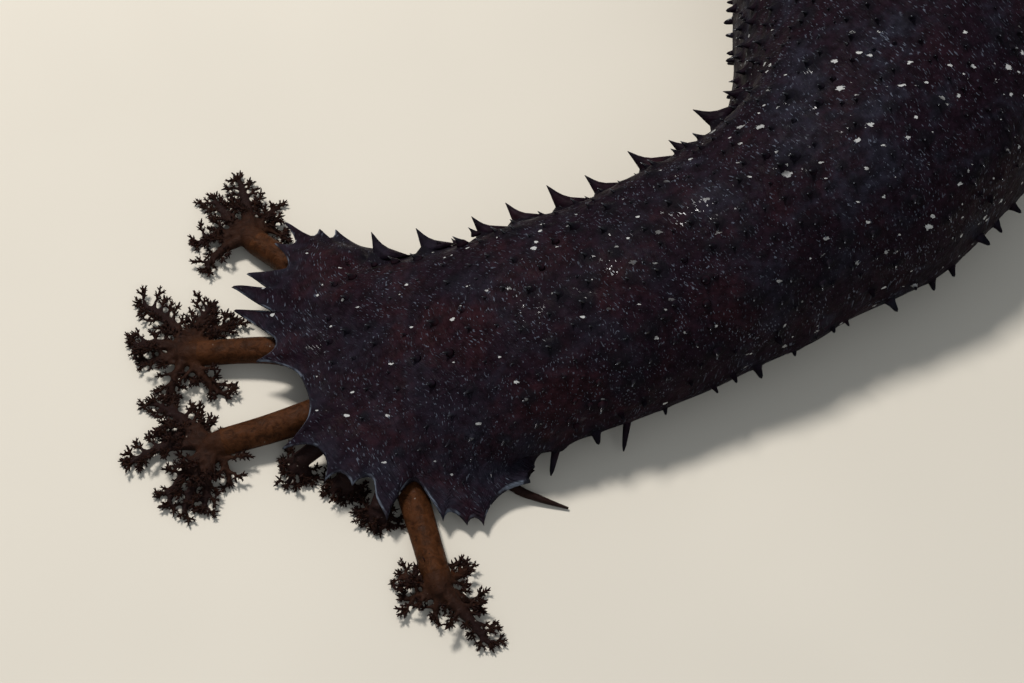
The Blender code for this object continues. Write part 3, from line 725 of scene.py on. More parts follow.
def shoulder_sink(along, degrees):
    """How deep the skin dips between the large papillae of the far shoulder."""
    along, degrees = np.asarray(along, float), np.asarray(degrees, float)
    raised = np.zeros(np.broadcast(along, degrees).shape)
    for place, size in [*shoulder_rows(), *[(-HOOD_LENGTH * t, s) for t, _, s in HOOD_SHOULDER]]:
        behind = along - place
        fall = np.where(behind < 0.0, np.exp(-((behind / 1.6) ** 2)), np.exp(-behind / 4.0))
        raised = np.maximum(raised, min(size, 1.0) * fall)
    aside = degrees - SHOULDER_ANGLE
    across = np.exp(-((aside / np.where(aside < 0.0, 20.0, 32.0)) ** 2))
    raised = raised * np.exp(-((aside / 7.5) ** 2))
    depth = SHOULDER_SINK * (1.0 - 0.55 * smooth_step(60.0, 75.0, along))
    depth = depth + 1.3 * np.exp(-(((along - 47.0) / 9.0) ** 2))
    return depth * across * (1.0 - raised) * smooth_step(-31.0, -24.0, along)


def papilla_places(settings, columns):
    """Where the papillae of the back, of the far shoulder and of the margins stand."""
    chance = random.Random(settings.seed)
    back, shoulder, margin = Places(), Places(), Places()
    spacing = settings.spacing / MM
    width, height = settings.width / MM / 2, settings.height / MM

    def stand(places, along, degrees, wide, high, lean=0.0, rise=0.0):
        angle = math.radians(degrees)
        outwards = skin_normal(along, angle)
        root = skin_point(along, angle) - outwards * float(shoulder_sink(along, degrees))
        forward = -np.array([*body_at(along)[1], 0.0])
        axis = outwards + lean * forward + np.array([0.0, 0.0, rise])
        places.add(root, axis, forward, wide, high, unwrapped(along, angle))

    for along, size in shoulder_rows():
        stand(shoulder, along, SHOULDER_ANGLE + chance.uniform(-1.5, 1.5), width * 2.0 * size,
              height * 1.75 * size, 0.12)
    for root, tip, wide in MARGIN_LOBES:
        way = np.subtract(tip, root)
        margin.add(root, way, (-0.94, -0.35, 0.0), wide, float(np.linalg.norm(way)),
                   unwrapped(0.0, 0.0))
    for side in (-5.0, 185.0):
        along = -1.0
        while along < LAST_PAPILLAE:
            size = chance.uniform(0.45, 0.95)
            stand(margin, along, side + chance.uniform(-9, 9), width * size,
                  height * 1.25 * size, chance.uniform(-0.1, 0.5), 0.1)
            along += chance.uniform(2.4, 4.6)
    row = 0
    along = 1.5
    while along < LAST_PAPILLAE:
        _, _, half_width, crest = body_at(along)
        arc = 1.15 * (half_width + crest * 0.5)
        count = max(int(arc / spacing * 1.35), 4)
        for k in range(count):
            share = (k + 0.5 * (row % 2) + 0.25 + chance.uniform(-0.3, 0.3)) / count
            degrees = 8 + 166 * share
            size = chance.choice((0.4, 0.5, 0.6, 0.75, 0.95))
            if abs(degrees - SHOULDER_ANGLE) < (14 if along < 62 else 8):
                continue
            stand(back, along + chance.uniform(-1.5, 1.5), degrees, width * size, height * size)
        along += spacing * 0.78
        row += 1
    hood_shoulder(shoulder, columns, width, height)
    hood_papillae(back, columns, width, height, chance)
    return back, shoulder, margin


def hood_turn(root, beside, ahead):
    """The hood's outward and forward directions, from a point, the next one and one ahead."""
    forward = unit(ahead - root)
    outwards = unit(np.cross(beside - root, forward))
    return (outwards if outwards[2] > 0 else -outwards), forward


def hood_shoulder(places, columns, width, height):
    """The large papillae that go on along the hood's far shoulder to its corner."""
    for t, degrees, size in HOOD_SHOULDER:
        j = int(np.argmin([abs(math.degrees(c.angle) - degrees) for c in columns]))
        near = columns[j - 1:j + 1]
        ring, ahead = hood_ring(near, t), hood_ring(near, t + 0.03)
        outwards, forward = hood_turn(*ring, ahead[0])
        places.add(ring[0], outwards + 0.1 * forward, forward, width * 2.0 * size,
                   height * 1.75 * size, unwrapped(-HOOD_LENGTH * t, math.radians(degrees)))


def hood_papillae(places, columns, width, height, chance):
    """The small papillae of the hood's roof, in rows from the neck to the flare."""
    upper = [c for c in columns if c.lip == 0.0 and 0.1 < c.angle < math.pi - 0.1]
    for row, t in enumerate(np.arange(0.1, 1.02, 0.115)):
        ring, ahead = hood_ring(upper, t), hood_ring(upper, t + 0.03)
        lengths = np.concatenate([[0], np.cumsum(np.linalg.norm(np.diff(ring, axis=0), axis=1))])
        count = int(lengths[-1] / 5.2)
        for k in range(count):
            share = (k + 0.5 * (row % 2) + 0.25 + chance.uniform(-0.3, 0.3)) / count
            j = int(np.clip(np.searchsorted(lengths, share * lengths[-1]), 0, len(upper) - 2))
            size = chance.choice((0.4, 0.5, 0.65, 0.85)) * (1.0 - 0.3 * t)
            if abs(math.degrees(upper[j].angle) - SHOULDER_ANGLE - 6 * t) < 13:
                continue
            outwards, forward = hood_turn(ring[j], ring[j + 1], ahead[j])
            patch = unwrapped(-HOOD_LENGTH * t, upper[j].angle)
            places.add(ring[j], outwards, forward, width * size, height * size, patch)


def small_shape(name, levels, sides, tip_most=1.0):
    """A small closed shape to be repeated, a few dozen faces, with its patch of the unwrap."""
    points = []
    for rise, length, width, ahead in levels:
        for k in range(sides):
            a = 2 * math.pi * k / sides
            points.append((ahead + length * math.cos(a), width * math.sin(a), rise))
    faces = ring_faces(sides, len(levels))
    mesh = bpy.data.meshes.new(name)
    mesh.from_pydata(points, [], faces)
    smooth_shaded(mesh)
    low, high = levels[0][0], levels[-1][0]
    attribute(mesh, "tip", [(p[2] - low) / (high - low) * tip_most for p in points])
    add_patch(mesh)
    return bpy.data.objects.new(name, mesh)


# Each shape's levels from root to tip: how high, how long, how wide and how far ahead.
PAPILLA_SHAPES = {
    "papillae": ((-0.35, 1.45, 1.35, -0.25), (0.02, 1.05, 1.0, -0.1), (0.22, 0.7, 0.66, 0.12),
                 (0.46, 0.45, 0.42, 0.42), (0.74, 0.25, 0.24, 0.78), (1.0, 0.06, 0.06, 1.1)),
    "shoulder_papillae": ((-0.5, 1.75, 1.3, -1.2), (-0.2, 1.2, 1.05, -0.7),
                          (0.06, 0.74, 0.72, -0.28), (0.3, 0.48, 0.47, -0.04),
                          (0.55, 0.29, 0.28, 0.12), (0.8, 0.15, 0.14, 0.25),
                          (1.0, 0.03, 0.03, 0.36)),
    "margin_papillae": ((-0.35, 1.5, 1.5, 0.0), (0.05, 1.05, 1.05, 0.0), (0.3, 0.78, 0.78, 0.05),
                        (0.6, 0.6, 0.6, 0.1), (0.85, 0.42, 0.42, 0.14), (1.0, 0.12, 0.12, 0.16)),
}


def add_patch(mesh):
    """A small flat map of the shape, seen from its tip, from -0.5 to 0.5."""
    layer = mesh.uv_layers.new(name="patch")
    across = of_vertices(mesh, "co")[:, :2]
    flat = across / max(np.abs(across).max(), 1e-6) * 0.5
    corners = np.empty(len(mesh.loops), int)
    mesh.loops.foreach_get("vertex_index", corners)
    layer.data.foreach_set("uv", flat[corners].ravel())


def new_socket(tree, label, side, kind, default=None):
    """Adds an input or output to a node group."""
    made = tree.interface.new_socket(label, in_out=side, socket_type="NodeSocket" + kind)
    if default is not None:
        made.default_value = default


class Wires:
    """Shorthand for the few kinds of node that the node trees use."""

    def __init__(self, tree):
        self.tree = tree

    def put(self, socket, value):
        if isinstance(value, bpy.types.NodeSocket):
            self.tree.links.new(value, socket)
        else:
            socket.default_value = value

    def node(self, kind, given=None, **settings):
        """Makes a node with these settings and these values or links, and gives its outputs."""
        made = self.tree.nodes.new(kind)
        for key, value in settings.items():
            setattr(made, key, value)
        for key, value in (given or {}).items():
            self.put(made.inputs[key], value)
        return made.outputs

    def math(self, operation, *values):
        return self.node("ShaderNodeMath", dict(enumerate(values)), operation=operation)[0]

    def vector(self, operation, first, second, key=1):
        return self.node("ShaderNodeVectorMath", {0: first, key: second}, operation=operation)

    def away(self, place, spot, height):
        """How far a place is from a spot that is given in millimetres, at a height in metres."""
        spot = (*to_metres([[*spot, 0.0]])[0][:2], height)
        return self.vector("DISTANCE", place, spot)["Value"]

    def span(self, value, low, high, to_low=0.0, to_high=1.0):
        given = {"Value": value, "From Min": low, "From Max": high, "To Min": to_low,
                 "To Max": to_high}
        return self.node("ShaderNodeMapRange", given, interpolation_type="SMOOTHSTEP")[0]

    def mix(self, factor, first, second):
        return self.node("ShaderNodeMix", {0: factor, 6: first, 7: second}, data_type="RGBA",
                         clamp_factor=True)[2]

    def place(self):
        return self.node("ShaderNodeTexCoord")["Object"]

    def mapped(self, vector, scale, turn=(0, 0, 0)):
        return self.node("ShaderNodeMapping",
                         {"Vector": vector, "Scale": scale, "Rotation": turn})[0]

    def noise(self, vector, scale, detail=2.0, roughness=0.5, distortion=0.0):
        return self.node("ShaderNodeTexNoise", {
            "Vector": vector, "Scale": scale, "Detail": detail, "Roughness": roughness,
            "Distortion": distortion})[0]

    def cells(self, vector, scale, feature="F1"):
        made = self.node("ShaderNodeTexVoronoi", {"Vector": vector, "Scale": scale},
                         feature=feature)
        return made["Distance"], made["Color"]

    def named(self, name, output="Fac"):
        return self.node("ShaderNodeAttribute", attribute_name=name)[output]

    def bump(self, height, strength, distance):
        return self.node("ShaderNodeBump", {"Height": height, "Strength": strength,
                                            "Distance": distance})[0]


def scatter_tree():
    """Sets a shape on every point, turned and sized by the point's own attributes."""
    name = "set shapes on points"
    found = bpy.data.node_groups.get(name)
    if found:
        return found
    tree = bpy.data.node_groups.new(name, "GeometryNodeTree")
    for label, kind, default in (
        ("Points", "Geometry", None), ("Shape", "Object", None), ("Size", "Float", 1.0),
        ("Size Spread", "Float", 0.1), ("Seed", "Int", None), ("Patch Size", "Float", PATCH_SIZE),
        ("Finish", "Material", None),
    ):
        new_socket(tree, label, "INPUT", kind, default)
    new_socket(tree, "Shapes", "OUTPUT", "Geometry")
    w = Wires(tree)

    def own(attribute_name):
        return w.node("GeometryNodeInputNamedAttribute", {"Name": attribute_name},
                      data_type="FLOAT_VECTOR")["Attribute"]

    given = w.node("NodeGroupInput")
    points = w.node("GeometryNodeMeshToPoints", {"Mesh": given["Points"]})
    shape = w.node("GeometryNodeObjectInfo", {"Object": given["Shape"]})
    low = w.math("SUBTRACT", 1.0, given["Size Spread"])
    high = w.math("ADD", 1.0, given["Size Spread"])
    drawn = w.node("FunctionNodeRandomValue", {2: low, 3: high, "Seed": given["Seed"]},
                   data_type="FLOAT")
    scale = w.math("MULTIPLY", given["Size"], drawn[1])
    placed = w.node("GeometryNodeInstanceOnPoints", {
        "Points": points["Points"],
        "Instance": shape["Geometry"],
        "Rotation": w.node("FunctionNodeEulerToRotation", {0: own("turn")})[0],
        "Scale": w.vector("SCALE", own("size"), scale, "Scale")[0],
    })
    real = w.node("GeometryNodeRealizeInstances", {0: placed[0]})
    patch = w.vector("SCALE", own("patch"), given["Patch Size"], "Scale")[0]
    kept = w.node("GeometryNodeStoreNamedAttribute", {
        "Geometry": real[0], "Name": "OFBake", "Value": w.vector("ADD", patch, own("root"))[0],
    }, data_type="FLOAT2", domain="CORNER")
    finish = w.node("GeometryNodeSetMaterial", {"Geometry": kept[0], "Material": given["Finish"]})
    w.node("NodeGroupOutput", {"Shapes": finish[0]})
    return tree


def scatter(name, places, shape, finish, seed, spread=0.1):
    """One plain mesh of the shape at every place."""
    mesh = bpy.data.meshes.new(name + "_points")
    mesh.from_pydata(to_metres(places.roots).tolist(), [], [])
    attribute(mesh, "turn", places.turns)
    attribute(mesh, "size", np.array(places.sizes) * MM)
    attribute(mesh, "root", places.patches)
    carrier = link(bpy.data.objects.new(name + "_points", mesh))
    tree = scatter_tree()
    modifier = carrier.modifiers.new("shapes", "NODES")
    modifier.node_group = tree
    given = {"Shape": shape, "Size": 1.0, "Size Spread": spread, "Seed": seed,
             "Patch Size": PATCH_SIZE, "Finish": finish}
    for item in tree.interface.items_tree:
        if item.in_out == "INPUT" and item.name in given:
            modifier[item.identifier] = given[item.name]
    graph = bpy.context.evaluated_depsgraph_get()
    made = bpy.data.meshes.new_from_object(carrier.evaluated_get(graph))
    made.name = name
    carrier.modifiers.clear()
    bpy.data.objects.remove(carrier)
    bpy.data.objects.remove(shape)
    for key in ("turn", "size", "root", "patch"):
        if made.attributes.get(key):
            made.attributes.remove(made.attributes[key])
    smooth_shaded(made)
    return link(bpy.data.objects.new(name, made))


def mounds(points, kinds):
    """How far the skin rises under each papilla, and how near each point is to one's middle."""
    tree = kdtree.KDTree(len(points))
    for i, point in enumerate(points):
        tree.insert(point, i)
    tree.balance()
    rise = np.zeros(len(points))
    near = np.zeros(len(points))
    for places, share in zip(kinds, (0.3, 0.1, 0.15)):
        for root, (width, _, height) in zip(places.roots, places.sizes):
            radius = width * 1.9 + 0.5
            for _, i, away in tree.find_range(root, radius):
                t = (1 - (away / radius) ** 2) ** 2
                rise[i] = max(rise[i], share * height * t)
                near[i] = max(near[i], min(1.15 - away / radius, 1.0) * min(height / 1.6, 1.0))
    return rise, near


def slow_waves(points, seed, length, height):
    """Soft swells over the skin, from a few crossing waves."""
    chance = random.Random(seed)
    total = np.zeros(len(points))
    for k in range(7):
        way = unit([chance.uniform(-1, 1), chance.uniform(-1, 1), chance.uniform(-1, 1)])
        wave = 2 * math.pi / (length * chance.uniform(0.6, 1.6))
        total += np.sin(points @ way * wave + chance.uniform(0, 6.28)) / 7
    return total * height * 2


def make_skin(settings, columns, places, finish):
    rings = skin_rings(columns, settings.ring_spacing / MM)
    sides = len(columns)
    points, edge = (np.concatenate([ring[k] for ring in rings]) for k in (0, 2))
    along, inner = (np.repeat([ring[k] for ring in rings], sides) for k in (1, 3))
    skin = mesh_object("skin", points, ring_faces(sides, len(rings)), finish)
    mesh = skin.data
    on_lip = np.tile([column.lip for column in columns], len(rings))
    angles = np.concatenate([ring_angles(columns, ring[1]) for ring in rings])
    rise, near = mounds(points, places)
    swell = slow_waves(points, settings.seed, settings.swell_length / MM, settings.swell / MM)
    calm = smooth_step(1.0, 7.0, edge) * (1 - inner) * smooth_step(1.3, 6.0, points[:, 2])
    calm *= 1.0 - 0.8 * on_lip
    shoulder = np.exp(-(((np.degrees(angles) - SHOULDER_ANGLE) / 18.0) ** 2))
    sunk = shoulder_sink(along, np.degrees(angles))
    moved = (rise + swell * (1 - shoulder) - sunk) * calm * MM
    placed = of_vertices(mesh, "co") + of_vertices(mesh, "normal") * moved[:, None]
    mesh.vertices.foreach_set("co", placed.ravel())
    mesh.update()
    attribute(mesh, "rim", 1.0 - np.clip(edge / RIM_BAND, 0, 1))
    attribute(mesh, "inner", inner)
    steps = np.linalg.norm(np.diff(points.reshape(len(rings), sides, 3), axis=0), axis=2)
    run = np.concatenate([np.zeros((1, sides)), np.cumsum(steps, axis=0)]).ravel()
    flow = np.column_stack([run, FLOW_RADIUS * np.cos(angles), FLOW_RADIUS * np.sin(angles)]) * MM
    attribute(mesh, "flow", flow)
    attribute(mesh, "mound", near * (1 - inner))
    return skin


def stalk_line(spec):
    """The stalk's centre line, from the mouth's ring out to the root of its crown."""
    angle = math.radians(spec["base"])
    root = mouth_point(angle, RING_HALF_WIDTH, RING_HALF_HEIGHT, 1.2)
    onward = mouth_point(angle, RING_HALF_WIDTH, RING_HALF_HEIGHT, 6.4)
    rows = [root, onward, *spec["stalk"]]
    return [spline(rows, at) for at in np.linspace(0, len(rows) - 1, 15 * (len(rows) - 1) + 1)]


def make_stalk(name, spec, finish):
    line = stalk_line(spec)
    radius = spec["radius"]
    heading = unit(line[-1] - line[-2])
    share = np.linspace(0, 1, len(line))
    radii = [radius * (0.68 + 0.47 * min(s / 0.42, 1.0) - 0.2 * max(s - 0.5, 0.0)
                       + 0.02 * math.sin(19 * s)) for s in share]
    line += [line[-1] + heading * 0.6, line[-1] + heading * 1.2]
    radii += [radii[-1] * 0.99, radii[-1] * 0.86]
    return mesh_object("stalk_" + name, tube_points(line, radii, 28, 0.02),
                       ring_faces(28, len(line)), finish)


def branch_line(root, leaves, ends, length, steps, chance):
    """A main branch, bending from one bearing to another while it sinks towards the floor."""
    line = [np.array(root, float)]
    for k in range(steps):
        direction = math.radians(leaves + (ends - leaves) * (k + 0.5) / steps
                                 + chance.uniform(-BRANCH_WIGGLE, BRANCH_WIGGLE))
        step = np.array([math.cos(direction), math.sin(direction), 0.0]) * length / steps
        point = line[-1] + step
        t = (k + 1) / steps
        point[2] = max(root[2] * (1 - t * t), BRANCH_FLOOR + 0.5 * (1 - t))
        line.append(point)
    return line


def side_branch(line, t, sign, length, rise, chance):
    """A smaller branch off a line, turned to one side and curling a little upwards."""
    at = t * (len(line) - 1)
    along = unit(spline(line, min(at + 0.2, len(line) - 1)) - spline(line, max(at - 0.2, 0)))
    aside = unit(np.cross((0.0, 0.0, 1.0), along)) * sign
    spread = math.radians(chance.uniform(38, 62))
    heading = along * math.cos(spread) + aside * math.sin(spread)
    beside = np.cross((0.0, 0.0, 1.0), heading)
    curl = chance.uniform(-0.5, 0.5)
    points = [spline(line, at)]
    steps = 4
    for k in range(steps):
        turn = curl * k / steps
        turned = heading * math.cos(turn) + beside * math.sin(turn)
        step = unit(turned + np.array([0.0, 0.0, rise * (1 - 0.5 * k / steps)])) * length / steps
        point = points[-1] + step
        point[2] = max(point[2], SIDE_BRANCH_FLOOR)
        points.append(point)
    return points


def grow_crown(root, spec, settings, chance, twigs, gathered, size=1.0):
    """The branches of one crown as tubes, and where its finest twigs stand."""
    middle = np.array(root, float)
    slim = size ** 0.5

    def sprout(line, at, tilt, tall):
        """One fine twig off a line, turned aside and a little upwards."""
        spot = spline(line, at)
        along = unit(spline(line, min(at + 0.2, len(line) - 1)) - spline(line, max(at - 0.4, 0)))
        aside = unit(np.cross((0.0, 0.0, 1.0), along))
        axis = unit(along + aside * tilt + np.array([0, 0, chance.uniform(-0.2, 0.7)]))
        tall *= settings.twig_length / MM * chance.uniform(0.65, 1.15) * slim
        axis[2] = max(axis[2], (0.45 * tall - spot[2]) / tall)
        forward = unit([chance.uniform(-1, 1), chance.uniform(-1, 1), 0.3])
        twigs.add(spot, axis, forward, tall * 0.9, tall, (chance.random(), chance.random()))

    for leaves, ends, length in spec:
        thick = settings.branch_width / MM / 2 * chance.uniform(0.9, 1.1) * size
        thick *= min(max(length / 12.0, 0.75), 1.25)
        steps = 10
        line = branch_line(middle, leaves, ends, length * BRANCH_SHARE - 0.8, steps, chance)
        radii = [thick * 0.8 * (1 - k / steps) ** 0.8 + 0.34 * slim for k in range(steps + 1)]
        gathered.tube(line, radii, 8)
        count = max(int(length / 1.5), 3)
        for k in range(count):
            t = 0.2 + 0.78 * (k + chance.uniform(0.2, 0.8)) / count
            sign = 1 if k % 2 else -1
            reach = (4.3 - 2.2 * t) * chance.uniform(0.5, 1.2) * size
            reach = min(reach, length * 0.42)
            side = side_branch(line, t, sign, reach, chance.uniform(-0.2, 0.8), chance)
            thin = 0.46 * slim * (1.0 - 0.25 * t)
            gathered.tube(side, [thin * 1.4, thin * 1.1, thin * 0.9, thin * 0.75, thin * 0.5], 6)
            number = max(int(reach / 0.75), 2)
            for j in range(number):
                at = (0.35 + 0.65 * (j + 1) / number) * (len(side) - 1)
                sprout(side, at, chance.uniform(0.5, 1.2) * (1 if j % 2 else -1), 1.0)
            sprout(side, len(side) - 1.0, chance.uniform(-0.3, 0.3), 1.05)
        for k in range(int(length / 1.9)):
            at = (0.4 + 0.6 * chance.random()) * (len(line) - 1)
            sprout(line, at, chance.uniform(0.4, 1.4) * chance.choice((-1, 1)), 0.8)
        for tilt in (-0.8, -0.3, 0.2, 0.7):
            sprout(line, len(line) - 1.0, tilt, 1.1)


def fine_twig():
    """A tiny pointed twig with a few side points, one unit long."""
    gathered = Gathered()
    gathered.tube([(0, 0, -0.15), (0.04, 0, 0.35), (-0.03, 0.03, 0.7), (0.02, 0, 1.0)],
                  [0.17, 0.14, 0.1, 0.04], 5)
    for turn, rise, lean in ((0.3, 0.2, 0.4), (2.4, 0.36, 0.42), (4.3, 0.5, 0.36),
                             (1.2, 0.66, 0.28), (5.5, 0.3, 0.38)):
        way = np.array([math.cos(turn), math.sin(turn), 0.0])
        foot = np.array([0.0, 0.0, rise])
        gathered.tube([foot, foot + way * lean * 0.55 + np.array([0, 0, 0.1]),
                       foot + way * lean + np.array([0, 0, 0.24])], [0.11, 0.1, 0.03], 3)
    mesh = bpy.data.meshes.new("twig")
    mesh.from_pydata([tuple(p) for p in gathered.points], [], gathered.faces)
    smooth_shaded(mesh)
    attribute(mesh, "tip", [max(min(p[2], 1.0), 0.0) for p in gathered.points])
    add_patch(mesh)
    return bpy.data.objects.new("twig", mesh)


def fused(obj, voxel, finish):
    """Melts overlapping closed tubes into one smooth skin. The voxel is in millimetres."""
    remesh = obj.modifiers.new("fuse", "REMESH")
    remesh.mode = "VOXEL"
    remesh.voxel_size = voxel * MM
    remesh.use_smooth_shade = True
    soften = obj.modifiers.new("soften", "SMOOTH")
    soften.factor = 0.5
    soften.iterations = 3
    graph = bpy.context.evaluated_depsgraph_get()
    made = bpy.data.meshes.new_from_object(obj.evaluated_get(graph))
    made.name = obj.name
    obj.modifiers.clear()
    old = obj.data
    obj.data = made
    bpy.data.meshes.remove(old)
    smooth_shaded(made)
    if not made.materials:
        made.materials.append(finish)


def make_crown(name, spec, settings, finish, twig_finish, seed):
    chance = random.Random(seed)
    line = stalk_line(spec)
    radius = spec["radius"]
    heading = unit(line[-1] - line[-2])
    gathered = Gathered()
    gathered.tube([line[-1] + heading * along for along in (-1.5, 0.0, 1.2, 2.6, 4.4)],
                  [radius * share for share in (0.9, 1.02, 1.06, 0.95, 0.6)], 14)
    twigs = Places()
    middle = line[-1] + heading * radius * 1.1
    grow_crown(middle, spec["crown"], settings, chance, twigs, gathered)
    crown = mesh_object("crown_" + name, gathered.points, gathered.faces, finish)
    fused(crown, CROWN_VOXEL, finish)
    away = np.linalg.norm(of_vertices(crown.data, "co") - to_metres([line[-1]]), axis=1) / MM
    attribute(crown.data, "reach", np.clip(away / CROWN_REACH, 0, 1))
    fingers = scatter("twigs_" + name, twigs, fine_twig(), twig_finish, seed, 0.12)
    return crown, fingers


def make_mouth(settings, finish, twig_finish):
    """The disc round the mouth, its lips, and the tentacles that are drawn in beneath the hood."""
    chance = random.Random(settings.seed + 5)
    sides = 200
    rows = ((13.9, 5.6, -0.1), (13.9, 5.6, 0.8), (13.4, 5.2, 1.7), (12.4, 4.7, 2.2),
            (10.0, 3.8, 2.5), (7.5, 3.0, 2.7), (5.4, 2.5, 3.2), (4.2, 2.1, 3.7),
            (3.3, 1.7, 3.7), (2.6, 1.3, 3.2), (2.0, 1.0, 2.2), (1.4, 0.7, 1.2))
    points = []
    for wide, high, ahead in rows:
        for k in range(sides):
            a = 2 * math.pi * k / sides
            fold = 1.0 + 0.05 * math.cos(20 * a) * (1.0 if 2.0 < wide < 12.0 else 0.3)
            points.append(mouth_point(a, wide * fold, high * fold, ahead + 0.25 * math.cos(20 * a)
                                      * (1.0 if wide < 12 else 0.0)))
    disc = mesh_object("mouth_disc", points, ring_faces(sides, len(rows)), finish)
    lines = [stalk_line(spec) for spec in TENTACLES.values()]
    buds, twigs = Gathered(), Places()
    for slot in range(DRAWN_IN_SLOTS):
        angle = 2 * math.pi * slot / DRAWN_IN_SLOTS
        start = mouth_point(angle, RING_HALF_WIDTH, RING_HALF_HEIGHT, 1.4)
        if min(np.linalg.norm(start - line[0]) for line in lines) < 2.4:
            continue
        reach = chance.uniform(3.5, 6.0)
        end = mouth_point(angle, RING_HALF_WIDTH - 0.8, RING_HALF_HEIGHT - 0.8, 1.4 + reach)
        buds.tube([start, (start + end) / 2 + chance.uniform(-0.3, 0.3), end], [1.3, 1.2, 1.0], 8)
        # Three numbers are drawn for each branch. The middle one has no use, but keeps the draw.
        drawn = [[chance.uniform(*span) for span in ((0, 360), (0, 360), (2.4, 3.2))]
                 for _ in range(3)]
        spec = [(bearing, bearing + 30, length) for bearing, _, length in drawn]
        grow_crown(end, spec, settings, chance, twigs, buds, 0.55)
    for middle, bearing in DRAWN_IN_BUSHES:
        start = mouth_point(math.radians(60), RING_HALF_WIDTH * 0.8, RING_HALF_HEIGHT, 2.0)
        half = (start + np.array(middle)) / 2 + np.array([0.0, 0.0, 1.0])
        line = [spline([start, half, middle], at) for at in np.linspace(0, 2, 9)]
        buds.tube(line, [1.6] * 9, 10)
        spec = [(bearing + turn, bearing + turn * 1.3, chance.uniform(3.2, 5.0))
                for turn in (-80, -40, 0, 40, 80)]
        grow_crown(middle, spec, settings, chance, twigs, buds, 0.75)
    drawn_in = mesh_object("tentacles_drawn_in", buds.points, buds.faces, twig_finish)
    fused(drawn_in, BUSH_VOXEL, twig_finish)
    # Every part of the drawn-in bushes takes the darkest colour, that of the outermost twigs:
    # partly their own colour, partly painted shade beneath the hood.
    attribute(drawn_in.data, "reach", np.ones(len(drawn_in.data.vertices)))
    fingers = scatter("twigs_drawn_in", twigs, fine_twig(), twig_finish, settings.seed, 0.12)
    return disc, drawn_in, fingers


def make_feet(settings, finish, brown):
    """Tube feet in rows under the sole, all standing on the floor."""
    chance = random.Random(settings.seed)
    places = Places()
    apart = settings.foot_spacing / MM
    width = settings.foot_width / MM / 2
    count = int((BODY_LENGTH - TAIL_ROUNDING * 0.5) / apart)
    for row in range(count):
        along = 1.0 + apart * row
        centre, tailwards, half_width, _ = body_at(along)
        side = np.array([tailwards[1], -tailwards[0]])
        across = max(int(2 * half_width * 0.7 / apart), 2)
        for k in range(across + 1):
            share = -0.7 + 1.4 * (k + 0.5 * (row % 2)) / (across + 0.5)
            spot = centre + side * half_width * share + np.array(
                [chance.uniform(-0.8, 0.8), chance.uniform(-0.8, 0.8)])
            size = chance.uniform(0.8, 1.15)
            places.add((*spot, 0.0), (0, 0, 1.0), (*tailwards, 0.0), width * size, 1.0,
                       unwrapped(along, math.radians(270 + 60 * share)))
    for forward in (-16.0, -12.0, -8.0):
        for sideways in np.arange(-15.0, 15.1, 3.6):
            spot = head_to_world((forward, sideways * (1.1 if forward < -12 else 0.8), 0.0))
            places.add(spot, (0, 0, 1.0), (*HEAD_FORWARD, 0.0), width, 1.0,
                       unwrapped(-20.0 + forward * 0.5, math.radians(270 + 2 * sideways)))
    levels = ((0.0, 1.15, 1.15, 0.0), (0.25, 1.2, 1.2, 0.0), (0.5, 0.85, 0.85, 0.0),
              (1.2, 0.8, 0.8, 0.0), (2.2, 1.0, 1.0, 0.0))
    feet = scatter("tube_feet", places, small_shape("foot", levels, 9), finish, settings.seed, 0.0)
    line = [spline(SIDE_FOOT, at) for at in np.linspace(0, 3, 16)]
    radii = np.interp(np.linspace(0, 3, 16), range(4), SIDE_FOOT_RADII)
    gathered = Gathered()
    gathered.tube(line, list(radii), 14, 0.03)
    stretched = mesh_object("stretched_foot", gathered.points, gathered.faces, brown)
    attribute(stretched.data, "reach", np.full(len(gathered.points), 0.7))
    return feet, stretched


def opaque(colour, share=1.0):
    """A colour, or a darker share of it, with its alpha."""
    return (*(part * share for part in colour), 1.0)


def group(name, inputs, outputs):
    made = bpy.data.node_groups.new(name, "ShaderNodeTree")
    for label, kind, default in inputs:
        new_socket(made, label, "INPUT", kind, default)
    for label, kind in outputs:
        new_socket(made, label, "OUTPUT", kind)
    return made, made.nodes.new("NodeGroupInput").outputs, made.nodes.new("NodeGroupOutput").inputs


def flecks(wires, vector, scale, radius, share):
    """Scattered small uneven spots: 1 inside one and 0 outside."""
    distance, colour = wires.cells(vector, scale)
    uneven = wires.noise(vector, scale * 6.0, 2.0, 0.6)
    distance = wires.math("MULTIPLY_ADD", uneven, radius * 2.4, distance)
    distance = wires.math("SUBTRACT", distance, radius * 1.2)
    drawn = wires.node("ShaderNodeSeparateColor", {0: colour})
    chosen = wires.math("LESS_THAN", drawn[0], share)
    reach = wires.math("MULTIPLY_ADD", drawn[1], radius * 0.8, radius * 0.45)
    inside = wires.math("LESS_THAN", distance, reach)
    return wires.math("MULTIPLY", inside, chosen)


